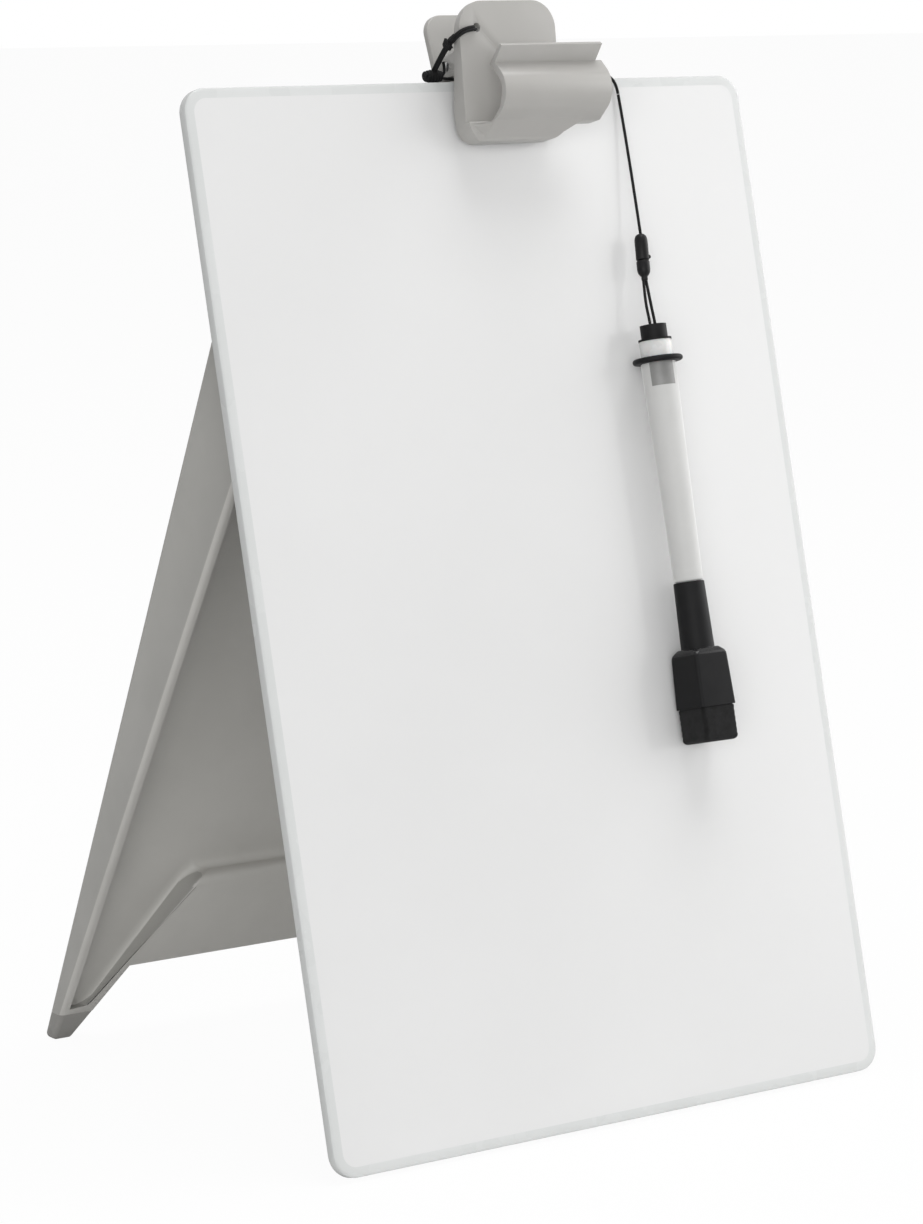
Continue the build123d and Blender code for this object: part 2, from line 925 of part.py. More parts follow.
def eraser_felt():
    spread = tan(radians(block_flare)) * (block_top - block_bottom)
    half_x = block_width / 2 + spread - felt_inset
    half_y = block_depth / 2 + spread - felt_inset
    low = (pen_x - half_x, -pen_n - half_y, felt_bottom)
    pad = block(low, (pen_x + half_x, -pen_n + half_y, block_bottom))
    pad = fillet(pad.edges().filter_by(Axis.Z), 1.0)
    tenon_x = block_width / 2 - block_wall
    tenon_y = block_depth / 2 - block_wall
    low = (pen_x - tenon_x, -pen_n - tenon_y, block_bottom)
    return pad + block(low, (pen_x + tenon_x, -pen_n + tenon_y, block_bottom + felt_tenon))


def write(name, solids, to_easel):
    """Write one node, as a group when it has several solids."""
    placed = [to_easel(solid) for solid in (solids if isinstance(solids, list) else [solids])]
    bodies = [body for shape in placed for body in shape.solids()]
    part = bodies[0] if len(bodies) == 1 else Compound(children=bodies)
    part.label = name
    export_step(part, f"parts/{name}.step")


board_pieces = {
    "glass_panel": glass_panel(),
    "steel_backing_sheet": steel_backing_sheet(),
    "foam_tape_strips": foam_tape_strips(),
    "back_shell": back_shell(),
    "hinge_brackets": hinge_brackets(),
    "bracket_screws": bracket_screws(),
    "hinge_pins": hinge_pins(),
    "board_bumpers": board_bumpers(),
    "clip_front_jaw": clip_front_jaw(),
    "clip_rear_jaw": clip_rear_jaw(),
    "clip_pivot_pin": clip_pivot_pin(),
    "clip_spring": clip_spring(),
    "front_grip_pad": front_grip_pad(),
    "rear_grip_pad": rear_grip_pad(),
    "loop_strand_a": loop_strand(1),
    "loop_strand_b": loop_strand(-1),
    "loop_hitch": loop_hitch(),
    "tether_knot": tether_knot(),
    "tether_run": tube("tether run", run_route),
    "tether_drop": tube("tether drop", drop_route),
    "connector_socket": connector_socket(),
    "connector_plug": connector_plug(),
    "pen_loop": tube("pen loop", pen_loop_route, ((2, loop_half * 0.98), (3, loop_half * 0.98))),
}
pen_pieces = {
    "pen_end_plug": pen_end_plug(),
    "pen_guard_ring": pen_guard_ring(),
    "pen_barrel": pen_barrel(),
    "ink_reservoir": ink_reservoir(),
    "nib_holder": nib_holder(),
    "felt_nib": felt_nib(),
    "pen_cap": pen_cap(),
    "cap_magnet": cap_magnet(),
    "eraser_felt": eraser_felt(),
}
stand_pieces = {
    "stand": stand(),
    "foot_caps": foot_caps(),
}

os.makedirs("parts", exist_ok=True)
for name, solids in board_pieces.items():
    write(name, solids, on_board)
for name, solids in pen_pieces.items():
    write(name, solids, hung)
for name, solids in stand_pieces.items():
    write(name, solids, place)

fold = degrees(rim_lean + lean)
print(f"stand folds {fold:.2f} degrees about y {hinge_place[0] - stand_reach / 2:.3f}, z {hinge_place[1]:.3f}")
for label, (x, t, n) in {
    "clip pivot": (clip_x, pivot_t, pivot_n),
    "drop top": drop_route[0],
    "loop bar": (pen_x, bar_t, pen_n),
}.items():
    y, z = leaned(-n, t)
    print(f"{label}: x {x:.2f}, y {y - stand_reach / 2:.3f}, z {z:.3f}")
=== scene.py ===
from math import atan2, cos, degrees, pi, radians, sin

import bmesh
import bpy
from mathutils import Matrix, Vector


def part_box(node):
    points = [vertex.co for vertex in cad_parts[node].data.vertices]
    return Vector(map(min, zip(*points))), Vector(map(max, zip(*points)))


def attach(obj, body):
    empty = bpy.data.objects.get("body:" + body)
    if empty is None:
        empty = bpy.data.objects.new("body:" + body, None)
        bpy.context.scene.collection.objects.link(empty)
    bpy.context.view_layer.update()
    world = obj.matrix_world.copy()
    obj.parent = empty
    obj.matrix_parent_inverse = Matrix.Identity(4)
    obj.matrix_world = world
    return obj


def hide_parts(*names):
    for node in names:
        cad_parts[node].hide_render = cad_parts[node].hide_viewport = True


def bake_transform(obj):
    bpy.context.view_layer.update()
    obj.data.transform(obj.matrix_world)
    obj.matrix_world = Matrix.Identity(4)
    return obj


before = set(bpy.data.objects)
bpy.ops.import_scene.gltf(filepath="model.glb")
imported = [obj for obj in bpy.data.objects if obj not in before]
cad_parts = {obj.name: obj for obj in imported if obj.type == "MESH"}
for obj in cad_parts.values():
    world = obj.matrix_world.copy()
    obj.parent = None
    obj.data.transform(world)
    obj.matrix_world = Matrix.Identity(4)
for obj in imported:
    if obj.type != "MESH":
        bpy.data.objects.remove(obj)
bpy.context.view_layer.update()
millimetre = 0.001


# places: the board leans back, and the pen hangs a third of a degree off the board's upright

boardStand = {"foot": (0, -0.10115, 0.0016), "lean": 14.2}
penHang = {"x": 52.3, "depth": -8.65, "bar": 253.5, "tilt": 0.35}

boardLean = Matrix.Rotation(radians(-boardStand["lean"]), 4, "X")
boardPlace = Matrix.Translation(boardStand["foot"]) @ boardLean
loopBar = Vector((penHang["x"], penHang["depth"], penHang["bar"])) * millimetre
penTurn = Matrix.Rotation(radians(penHang["tilt"]), 4, "Y")
penPlace = boardPlace @ Matrix.Translation(loopBar) @ penTurn @ Matrix.Translation(-loopBar)


def onBoard(x, t, n):  # across the board, up it, and out from its face, in millimetres
    return boardPlace @ (Vector((x, -n, t)) * millimetre)


def placeObject(name, data):
    thing = bpy.data.objects.new(name, data)
    bpy.context.scene.collection.objects.link(thing)
    return thing


# camera, left of the easel and looking a little down

print("camera")
cameraView = {
    "place": (-0.75462, -1.07599, 0.37447), "heading": 35.338, "dip": 10.774,
    "lens": 116.68, "film": 36, "rise": 0.0719, "near": 0.05, "far": 60,
}


def makeCamera():
    lens = bpy.data.cameras.new("easelCamera")
    camera = placeObject("easelCamera", lens)
    heading, dip = radians(cameraView["heading"]), radians(cameraView["dip"])
    look = Vector((sin(heading) * cos(dip), cos(heading) * cos(dip), -sin(dip)))
    camera.rotation_mode = "QUATERNION"
    camera.rotation_quaternion = look.to_track_quat("-Z", "Y")
    camera.location = cameraView["place"]
    lens.sensor_fit = "AUTO"
    lens.sensor_width = cameraView["film"]
    lens.lens = cameraView["lens"]
    lens.shift_y = cameraView["rise"]
    lens.clip_start = cameraView["near"]
    lens.clip_end = cameraView["far"]
    bpy.context.scene.camera = camera


makeCamera()


# finishes: two tones in a mottle, then specks and worn edges where a finish has them

usualLook = {"stretch": (1, 1, 1), "speckShare": 0.5, "wearShare": 0.5, "bumpStrength": 0.5, "shader": {}}
patternSpan = {"mottle": (0.35, 0.65), "speck": (0.62, 0.72), "wear": (0.97, 0.75), "rough": (0.3, 0.7)}
patternNoise = {"mottle": {"Detail": 4.0, "Roughness": 0.55}, "grain": {"Detail": 6.0, "Roughness": 0.6}}
wearSamples = 4


def feed(tree, socket, value):  # a plain value, another node's output, or a node for its first output
    if isinstance(value, bpy.types.Node):
        value = value.outputs[0]
    if isinstance(value, bpy.types.NodeSocket):
        tree.links.new(value, socket)
    else:
        socket.default_value = value


def addNode(tree, kind, *inOrder, **named):  # named: the node's settings, and inputs by their names
    node = tree.nodes.new(kind)
    for name, value in named.items():
        if hasattr(node, name):
            setattr(node, name, value)
        else:
            feed(tree, node.inputs[name], value)
    for socket, value in zip(node.inputs, inOrder):
        feed(tree, socket, value)
    return node


def addNoise(tree, place, scale, pattern):
    noise = addNode(tree, "ShaderNodeTexNoise", Vector=place, Scale=scale, **patternNoise[pattern])
    return noise.outputs["Fac"]


def addSpan(tree, value, span, to=(0, 1)):
    ends = {"From Min": span[0], "From Max": span[1], "To Min": to[0], "To Max": to[1]}
    return addNode(tree, "ShaderNodeMapRange", Value=value, **ends)


def addTone(tree, share, under, over):  # under and over are tones, or outputs of other nodes
    under, over = [(*tone, 1) if isinstance(tone, tuple) else tone for tone in (under, over)]
    mix = addNode(tree, "ShaderNodeMix", data_type="RGBA", Factor=share, A=under, B=over)
    return mix.outputs["Result"]


def addWear(tree, grain, look):  # patchy, where an edge turns away from the flat beside it
    rounded = addNode(tree, "ShaderNodeBevel", samples=wearSamples, Radius=look["wearWidth"])
    flat = tree.nodes.new("ShaderNodeNewGeometry")
    facing = addNode(tree, "ShaderNodeVectorMath", rounded, flat.outputs["Normal"], operation="DOT_PRODUCT")
    edge = addSpan(tree, facing.outputs["Value"], patternSpan["wear"], (0, look["wearShare"]))
    return addNode(tree, "ShaderNodeMath", edge, grain, operation="MULTIPLY")


def addWeave(tree, weave):  # crossed diagonal plaits round a cord, from its own map
    place = tree.nodes.new("ShaderNodeTexCoord").outputs["UV"]
    plait = {"bands_direction": "DIAGONAL", "Scale": 1.0, "Distortion": weave["waver"]}
    waves = []
    for side in (-1, 1):
        scale = (weave["along"], side * weave["round"], 1)
        turned = addNode(tree, "ShaderNodeMapping", Vector=place, Scale=scale)
        waves.append(addNode(tree, "ShaderNodeTexWave", Vector=turned, **plait).outputs["Fac"])
    return addNode(tree, "ShaderNodeMath", *waves, operation="MAXIMUM")


def makeFinish(name, given):
    look = {**usualLook, **given}
    material = bpy.data.materials.new(name)
    material.use_nodes = True
    tree = material.node_tree
    shader = tree.nodes["Principled BSDF"]
    place = tree.nodes.new("ShaderNodeTexCoord").outputs["Object"]
    stretched = addNode(tree, "ShaderNodeMapping", Vector=place, Scale=look["stretch"])

    mottle = addNoise(tree, stretched, look["mottle"], "mottle")
    grain = addNoise(tree, stretched, look["grain"], "grain")
    colour = addTone(tree, addSpan(tree, mottle, patternSpan["mottle"]), look["tone"], look["otherTone"])
    if "speck" in look:
        share = addSpan(tree, grain, patternSpan["speck"], (0, look["speckShare"]))
        colour = addTone(tree, share, colour, look["speck"])
    if "wear" in look:
        colour = addTone(tree, addWear(tree, grain, look), colour, look["wear"])
    rough = addSpan(tree, mottle, patternSpan["rough"], look["rough"])

    height = addWeave(tree, look["weave"]) if "weave" in look else grain
    size = {"Distance": look["bump"], "Strength": look["bumpStrength"]}
    bump = addNode(tree, "ShaderNodeBump", Height=height, **size)
    for label, value in {"Base Color": colour, "Roughness": rough, "Normal": bump, **look["shader"]}.items():
        feed(tree, shader.inputs[label], value)
    return material


print("finishes")
plasticGrain = {
    "mottle": 35, "grain": 2600, "rough": (0.42, 0.55), "bump": 0.00004, "bumpStrength": 0.35,
}
cordGrain = {
    "mottle": 500, "rough": (0.65, 0.85), "bumpStrength": 0.6,
    "shader": {"Sheen Weight": 0.06, "Sheen Roughness": 0.4, "Specular IOR Level": 0.15},
}
blackTones = {"tone": (0.008, 0.008, 0.0085), "otherTone": (0.012, 0.012, 0.0125), "grain": 3000}
whiteGlass = makeFinish("whiteGlass", {
    "tone": (0.68, 0.68, 0.678), "otherTone": (0.695, 0.695, 0.693),
    "mottle": 9, "grain": 90, "rough": (0.12, 0.2), "bump": 0.00002, "bumpStrength": 0.03,
    "shader": {"Specular IOR Level": 0.35},
})
clearRim = makeFinish("clearRim", {
    "tone": (0.60, 0.612, 0.606), "otherTone": (0.625, 0.635, 0.63),
    "mottle": 30, "grain": 300, "rough": (0.22, 0.32), "bump": 0.00002, "bumpStrength": 0.04,
    "shader": {"Specular IOR Level": 0.2},
})
sheetSteel = makeFinish("sheetSteel", {
    "tone": (0.50, 0.51, 0.52), "otherTone": (0.60, 0.61, 0.62), "stretch": (0.15, 1, 1),
    "mottle": 120, "grain": 1400, "rough": (0.28, 0.42), "bump": 0.00002,
    "shader": {"Metallic": 1.0},
})
foamTape = makeFinish("foamTape", {
    "tone": (0.72, 0.72, 0.68), "otherTone": (0.64, 0.64, 0.60), "speck": (0.42, 0.42, 0.39),
    "mottle": 160, "grain": 1800, "rough": (0.85, 0.95), "bump": 0.00015,
})
standPlastic = makeFinish("standPlastic", {
    **plasticGrain, "tone": (0.385, 0.379, 0.36), "otherTone": (0.365, 0.36, 0.341),
    "speck": (0.31, 0.305, 0.29), "speckShare": 0.25, "wear": (0.42, 0.41, 0.39), "wearWidth": 0.0006,
})
# a paler copy of the stand plastic: painted light that lifts the shaded tray hollow and ledge top
trayPaintedLight = makeFinish("trayPaintedLight", {
    **plasticGrain, "tone": (0.515, 0.507, 0.482), "otherTone": (0.49, 0.482, 0.458),
    "speck": (0.43, 0.425, 0.40), "speckShare": 0.25, "wear": (0.52, 0.51, 0.49), "wearWidth": 0.0006,
})
clipPlastic = makeFinish("clipPlastic", {
    **plasticGrain, "tone": (0.385, 0.376, 0.36), "otherTone": (0.365, 0.357, 0.34), "rough": (0.34, 0.46),
    "speck": (0.34, 0.33, 0.315), "speckShare": 0.2, "wear": (0.47, 0.46, 0.44), "wearWidth": 0.0005,
})
footPlastic = makeFinish("footPlastic", {
    **plasticGrain, "tone": (0.29, 0.284, 0.27), "otherTone": (0.265, 0.26, 0.247), "rough": (0.5, 0.65),
    "wear": (0.42, 0.415, 0.40), "wearWidth": 0.0005, "wearShare": 0.7,
})
hardwareSteel = makeFinish("hardwareSteel", {
    "tone": (0.55, 0.55, 0.55), "otherTone": (0.63, 0.63, 0.62), "mottle": 260, "grain": 2400,
    "rough": (0.22, 0.38), "bump": 0.00002, "wear": (0.75, 0.75, 0.74), "wearWidth": 0.0003,
    "shader": {"Metallic": 1.0},
})
springSteel = makeFinish("springSteel", {
    "tone": (0.34, 0.34, 0.35), "otherTone": (0.45, 0.45, 0.46), "mottle": 300, "grain": 2600,
    "rough": (0.25, 0.4), "bump": 0.00002, "shader": {"Metallic": 1.0},
})
darkRubber = makeFinish("darkRubber", {
    "tone": (0.022, 0.022, 0.023), "otherTone": (0.034, 0.034, 0.034), "mottle": 90, "grain": 1900,
    "rough": (0.7, 0.88), "bump": 0.00008, "wear": (0.07, 0.07, 0.07), "wearWidth": 0.0004,
})
blackCord = makeFinish("blackCord", {
    **cordGrain, "tone": (0.006, 0.006, 0.0065), "otherTone": (0.012, 0.012, 0.0125), "grain": 5000,
    "bump": 0.00009, "weave": {"along": 60, "round": 4, "waver": 0.4},
})
knotCord = makeFinish("knotCord", {
    **cordGrain, "tone": (0.006, 0.006, 0.0065), "otherTone": (0.013, 0.013, 0.0135), "grain": 4200,
    "bump": 0.00012,
})
connectorBlack = makeFinish("connectorBlack", {
    **blackTones, "mottle": 200, "rough": (0.3, 0.45), "bump": 0.00003,
    "wear": (0.06, 0.06, 0.06), "wearWidth": 0.0003, "shader": {"Specular IOR Level": 0.13},
})
penBlack = makeFinish("penBlack", {
    **blackTones, "mottle": 120, "rough": (0.42, 0.55), "bump": 0.00003,
    "wear": (0.03, 0.03, 0.03), "wearWidth": 0.0004, "shader": {"Specular IOR Level": 0.1},
})
penWhite = makeFinish("penWhite", {
    "tone": (0.60, 0.60, 0.592), "otherTone": (0.63, 0.63, 0.622), "mottle": 60, "grain": 900,
    "rough": (0.22, 0.34), "bump": 0.00002, "bumpStrength": 0.2,
    "shader": {"Subsurface Weight": 0.15, "Subsurface Scale": 0.002},
})
penFrosted = makeFinish("penFrosted", {
    "tone": (0.52, 0.52, 0.51), "otherTone": (0.545, 0.545, 0.535), "mottle": 60, "grain": 900,
    "rough": (0.42, 0.52), "bump": 0.00002, "bumpStrength": 0.2,
    "shader": {"Specular IOR Level": 0.3, "Sheen Weight": 0.9, "Sheen Roughness": 0.35},
})
penGloss = makeFinish("penGloss", {
    **blackTones, "mottle": 120, "rough": (0.2, 0.3), "bump": 0.00001,
    "shader": {"Specular IOR Level": 0.25},
})
labelGrey = makeFinish("labelGrey", {
    "tone": (0.20, 0.20, 0.195), "otherTone": (0.225, 0.225, 0.22), "mottle": 200, "grain": 2500,
    "rough": (0.3, 0.42), "bump": 0.00001,
})
inkFibre = makeFinish("inkFibre", {
    "tone": (0.03, 0.03, 0.05), "otherTone": (0.06, 0.06, 0.08), "stretch": (6, 6, 0.5),
    "mottle": 300, "grain": 1500, "rough": (0.8, 0.95), "bump": 0.0001,
})
nibFibre = makeFinish("nibFibre", {
    "tone": (0.012, 0.012, 0.014), "otherTone": (0.03, 0.03, 0.032), "stretch": (5, 5, 0.6),
    "mottle": 500, "grain": 2500, "rough": (0.8, 0.95), "bump": 0.00008,
})
magnetNickel = makeFinish("magnetNickel", {
    "tone": (0.62, 0.61, 0.58), "otherTone": (0.7, 0.69, 0.66), "mottle": 200, "grain": 2500,
    "rough": (0.16, 0.3), "bump": 0.00001, "shader": {"Metallic": 1.0},
})
eraserFelt = makeFinish("eraserFelt", {
    "tone": (0.008, 0.008, 0.008), "otherTone": (0.016, 0.016, 0.0165), "speck": (0.04, 0.04, 0.042),
    "speckShare": 0.6, "mottle": 400, "grain": 3200, "rough": (0.88, 1.0), "bump": 0.0003,
    "bumpStrength": 0.9, "shader": {"Specular IOR Level": 0.1, "Sheen Weight": 0.05, "Sheen Roughness": 0.6},
})


# meshes

meshLimits = {"weld": 1e-7, "looseWeld": 2e-6, "flatWithin": 0.8, "point": 1e-9}
softEdge = {"steps": 3, "sharpFrom": 40}


def keepPiece(name, mesh, finishes, body, node, smooth=35):
    for finish in finishes:
        mesh.materials.append(finish)
    mesh.shade_smooth()
    mesh.set_sharp_from_angle(angle=radians(smooth))
    piece = placeObject(name, mesh)
    if body:
        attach(piece, body)
    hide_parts(node)
    return piece


def shapeMesh(shape, name):
    mesh = bpy.data.meshes.new(name)
    shape.to_mesh(mesh)
    shape.free()
    return mesh


def closeMesh(shape, name, place=None):
    bmesh.ops.remove_doubles(shape, verts=shape.verts, dist=meshLimits["weld"])
    bmesh.ops.recalc_face_normals(shape, faces=shape.faces)
    if place is not None:
        shape.transform(place)
    return shapeMesh(shape, name)


def joinMeshes(name, meshes):
    shape = bmesh.new()
    for mesh in meshes:
        shape.from_mesh(mesh)
    return shapeMesh(shape, name)


def between(start, end, share):
    return [a + (b - a) * share for a, b in zip(start, end)]


def scaled(profile):
    return [(r * millimetre, z * millimetre) for r, z in profile]


def roundedOutline(width, height, radius, steps):
    corners = []
    for quarter, (sideX, sideZ) in enumerate(((1, 1), (-1, 1), (-1, -1), (1, -1))):
        for step in range(steps + 1):
            angle = (quarter + step / steps) * pi / 2
            x = sideX * (width / 2 - radius) + radius * cos(angle)
            z = sideZ * (height / 2 - radius) + radius * sin(angle)
            corners.append((x, z))
    return corners


def joinRings(shape, rings, sideFinish=0):
    for near, far in zip(rings, rings[1:]):
        for corners in zip(near, near[1:] + near[:1], far[1:] + far[:1], far):
            face = shape.faces.new(corners)
            face.material_index = sideFinish
    shape.faces.new(rings[0])
    shape.faces.new(list(reversed(rings[-1])))


def addSlab(shape, outline, layers, sideFinish=0):  # layers: (depth, inset) from front to back
    rings = [[shape.verts.new((x, depth, z)) for x, z in outline(inset)] for depth, inset in layers]
    joinRings(shape, rings, sideFinish)


def addRings(shape, rings):  # rings of corners in millimetres, from one end to the other
    joinRings(shape, [[shape.verts.new(Vector(corner) * millimetre) for corner in ring] for ring in rings])


def ringMesh(name, rings, place=None):
    shape = bmesh.new()
    addRings(shape, rings)
    return closeMesh(shape, name, place)


def addTurned(shape, profile, steps, place=None):  # profile: (radius, height) from top to bottom
    rings = []
    for radius, height in scaled(profile):
        if radius < meshLimits["point"]:
            rings.append([shape.verts.new((0, 0, height))])
            continue
        angles = [2 * pi * k / steps for k in range(steps)]
        rings.append([shape.verts.new((radius * cos(a), radius * sin(a), height)) for a in angles])
    for near, far in zip(rings, rings[1:]):
        for k in range(steps):
            after = (k + 1) % steps
            corners = [near[k % len(near)], near[after % len(near)], far[after % len(far)], far[k % len(far)]]
            corners = list(dict.fromkeys(corners))
            if len(corners) > 2:
                shape.faces.new(corners)
    if place is not None:
        bmesh.ops.transform(shape, matrix=place, verts=[v for ring in rings for v in ring])


def turnedMesh(name, profile, steps, place=None):
    shape = bmesh.new()
    addTurned(shape, profile, steps)
    return closeMesh(shape, name, place)


def looseCopy(node):
    shape = bmesh.new()
    shape.from_mesh(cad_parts[node].data)
    bmesh.ops.remove_doubles(shape, verts=shape.verts, dist=meshLimits["looseWeld"])
    flat = radians(meshLimits["flatWithin"])
    bmesh.ops.dissolve_limit(shape, angle_limit=flat, verts=shape.verts, edges=shape.edges)
    return shape


def roundEdges(shape, edges, width, segments):
    bmesh.ops.bevel(
        shape, geom=edges, offset=width * millimetre, offset_type="OFFSET", segments=segments,
        profile=0.5, affect="EDGES", clamp_overlap=True,
    )


def sharpEdges(shape, angle):
    return [e for e in shape.edges if len(e.link_faces) == 2 and e.calc_face_angle(0) > radians(angle)]


def softenedCopy(node, width):
    shape = looseCopy(node)
    roundEdges(shape, sharpEdges(shape, softEdge["sharpFrom"]), width, softEdge["steps"])
    return closeMesh(shape, node + "Soft")


def takeMesh(holder):
    seen = bpy.context.evaluated_depsgraph_get()
    mesh = bpy.data.meshes.new_from_object(holder.evaluated_get(seen))
    mesh.materials.clear()
    bpy.data.objects.remove(holder)
    return mesh


# node trees: repeats and wires

repeatSeed = 3
lineSteps = 10


def startTree(name, sizes):
    tree = bpy.data.node_groups.new(name, "GeometryNodeTree")
    tree.is_modifier = True
    tree.interface.new_socket("Geometry", in_out="INPUT", socket_type="NodeSocketGeometry")
    for label, (kind, value) in sizes.items():
        socket = tree.interface.new_socket(label, in_out="INPUT", socket_type=kind)
        if value is not None:
            socket.default_value = value
    tree.interface.new_socket("Geometry", in_out="OUTPUT", socket_type="NodeSocketGeometry")
    return tree, tree.nodes.new("NodeGroupInput"), tree.nodes.new("NodeGroupOutput")


def endTree(tree, given, result, output):
    real = addNode(tree, "GeometryNodeRealizeInstances", output)
    feed(tree, result.inputs[0], addNode(
        tree, "GeometryNodeSetMaterial", Geometry=real, Material=given.outputs["Finish"],
    ))


def makeWireTree():
    tree, given, result = startTree("wireAlongLine", {
        "Wire radius": ("NodeSocketFloat", 0.0005),
        "Sides": ("NodeSocketInt", 12),
        "Finish": ("NodeSocketMaterial", None),
    })
    radius, sides, line = (given.outputs[name] for name in ("Wire radius", "Sides", "Geometry"))
    profile = addNode(tree, "GeometryNodeCurvePrimitiveCircle", Radius=radius, Resolution=sides)
    along = {"Curve": line, "Profile Curve": profile, "Fill Caps": True}
    endTree(tree, given, result, addNode(tree, "GeometryNodeCurveToMesh", **along))
    return tree


def makeRepeatTree():
    tree, given, result = startTree("repeatOnPoints", {
        "Piece": ("NodeSocketObject", None),
        "Turn": ("NodeSocketFloat", 0.0),
        "Seed": ("NodeSocketInt", repeatSeed),
        "Finish": ("NodeSocketMaterial", None),
    })
    points, source, most, seed = (given.outputs[name] for name in ("Geometry", "Piece", "Turn", "Seed"))
    piece = addNode(tree, "GeometryNodeObjectInfo", Object=source)
    turn = addNode(tree, "FunctionNodeRandomValue", data_type="FLOAT", Max=most, Seed=seed)
    joined = addNode(tree, "ShaderNodeCombineXYZ", Y=turn.outputs["Value"])
    placed = {"Points": points, "Instance": piece.outputs["Geometry"], "Rotation": joined}
    endTree(tree, given, result, addNode(tree, "GeometryNodeInstanceOnPoints", **placed))
    return tree


def runTree(tree, holder, values):
    modifier = holder.modifiers.new("make", "NODES")
    modifier.node_group = tree
    for socket in tree.interface.items_tree:
        if socket.in_out == "INPUT" and socket.name in values:
            modifier[socket.identifier] = values[socket.name]
    return takeMesh(holder)


wireTree = makeWireTree()
repeatTree = makeRepeatTree()


def repeatOnBoard(name, mesh, places, finish, turn=0.0):  # places are millimetres on the board
    source = placeObject(name + "One", mesh)
    points = bpy.data.meshes.new(name + "Places")
    points.from_pydata([Vector((x, -n, t)) * millimetre for x, t, n in places], [], [])
    made = runTree(repeatTree, placeObject(name + "Places", points), {
        "Piece": source, "Turn": turn, "Seed": repeatSeed, "Finish": finish,
    })
    bpy.data.objects.remove(source)
    made.transform(boardPlace)
    made.materials.clear()
    return made


def lineHolder(name, points):
    curve = bpy.data.curves.new(name, "CURVE")
    curve.dimensions = "3D"
    spline = curve.splines.new("NURBS")
    spline.points.add(len(points) - 1)
    for point, place in zip(spline.points, points):
        point.co = (*place, 1)
    spline.order_u = 3
    spline.use_endpoint_u = True
    curve.resolution_u = lineSteps
    return placeObject(name, curve)


def wireMesh(name, points, radius, finish, sides):
    mesh = runTree(wireTree, lineHolder(name, points), {
        "Wire radius": radius, "Sides": sides, "Finish": finish,
    })
    mesh.materials.clear()
    return mesh


# tether: cords first

print("cords")
cordSize = {"diameter": 1.0, "pitch": 0.98, "lay": (-0.6, 0.8), "sides": 12, "round": 4}
cordRadius = cordSize["diameter"] / 2 * millimetre
strandRoute = [
    (-12.5, 343.9, -3.2), (-13.0, 347.4, 2.7), (-13.4, 349.9, 7.6), (-13.0, 352.0, 12.4),
    (-9.7, 353.85, 13.2), (-4.0, 354.8, 12.7), (-4.0, 354.8, 6.6), (-8.6, 353.9, 6.2), (-12.2, 351.2, 7.0),
]
runRoute = [
    (-9.8, 341.75, -3.0), (-4.0, 340.95, -2.6), (6.0, 340.9, -2.0), (23.0, 340.98, -1.8),
    (40.0, 340.9, -1.5), (49.0, 340.98, -0.9), (57.4, 340.8, 1.0), (57.5, 334.3, 1.3),
]
dropRoute = [(57.5, 334.0, 1.3), (57.5, 316.5, 2.3), (54.95, 285.9, 5.75)]
penLoopRoute = [
    (52.57, 271.4, 6.85), (51.4, 263.5, 7.6), (51.3, 257.0, 8.65), (51.3, 252.5, 8.65),
    (53.3, 252.5, 8.65), (53.3, 257.0, 8.65), (53.5, 263.5, 7.6), (53.53, 271.4, 6.85),
]


def makeCord(name, route, body, node):
    holder = lineHolder(name, [onBoard(*point) for point in route])
    holder.data.bevel_depth = cordRadius
    holder.data.bevel_resolution = cordSize["round"]
    holder.data.use_fill_caps = True
    holder.data.materials.append(blackCord)
    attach(holder, body)
    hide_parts(node)
    return holder


def strandPoints(side):
    half = side * cordSize["pitch"] / 2
    across, up = cordSize["lay"]
    return [(x + across * half, t + up * half, n) for x, t, n in strandRoute]


strandA = makeCord("loopStrandA", strandPoints(1), "clip_front", "loop_strand_a")
strandB = makeCord("loopStrandB", strandPoints(-1), "clip_front", "loop_strand_b")
edgeRun = makeCord("tetherRun", runRoute, "clip_front", "tether_run")
drop = makeCord("tetherDrop", dropRoute, "tether", "tether_drop")
penLoop = makeCord("penLoop", penLoopRoute, "leash", "pen_loop")


# knot and hitch

knotSize = {
    "left": -16.0, "right": -9.4, "t": 342.6, "n": -3.6, "turns": 6.5, "turnSteps": 10,
    "radius": 1.8, "ends": 0.66, "bulge": 0.34, "ripple": 0.04, "ripples": 5,
    "core": 1.05, "coreLine": (-16.0, -13.0, -9.3),
    "tail": [(-9.4, 342.6, -3.6), (-8.3, 343.4, -3.3), (-8.2, 345.2, -2.8), (-8.7, 347.0, -2.4)],
}


def knotPoints():
    points = []
    count = int(knotSize["turns"] * knotSize["turnSteps"])
    for step in range(count + 1):
        share = step / count
        angle = 2 * pi * knotSize["turns"] * share
        bulge = knotSize["bulge"] * sin(pi * share)
        ripple = knotSize["ripple"] * sin(knotSize["ripples"] * angle)
        reach = knotSize["radius"] * (knotSize["ends"] + bulge + ripple)
        x = knotSize["left"] + (knotSize["right"] - knotSize["left"]) * share
        points.append(onBoard(x, knotSize["t"] + reach * sin(angle), knotSize["n"] + reach * cos(angle)))
    return points


def makeKnot():
    sides = cordSize["sides"]
    wraps = wireMesh("knotWraps", knotPoints(), cordRadius, knotCord, sides)
    line = [onBoard(x, knotSize["t"], knotSize["n"]) for x in knotSize["coreLine"]]
    core = wireMesh("knotCore", line, knotSize["core"] * millimetre, knotCord, sides)
    tail = wireMesh("knotTail", [onBoard(*p) for p in knotSize["tail"]], cordRadius, knotCord, sides)
    mesh = joinMeshes("tetherKnot", [wraps, core, tail])
    return keepPiece("tetherKnot", mesh, [knotCord], "clip_front", "tether_knot", smooth=60)


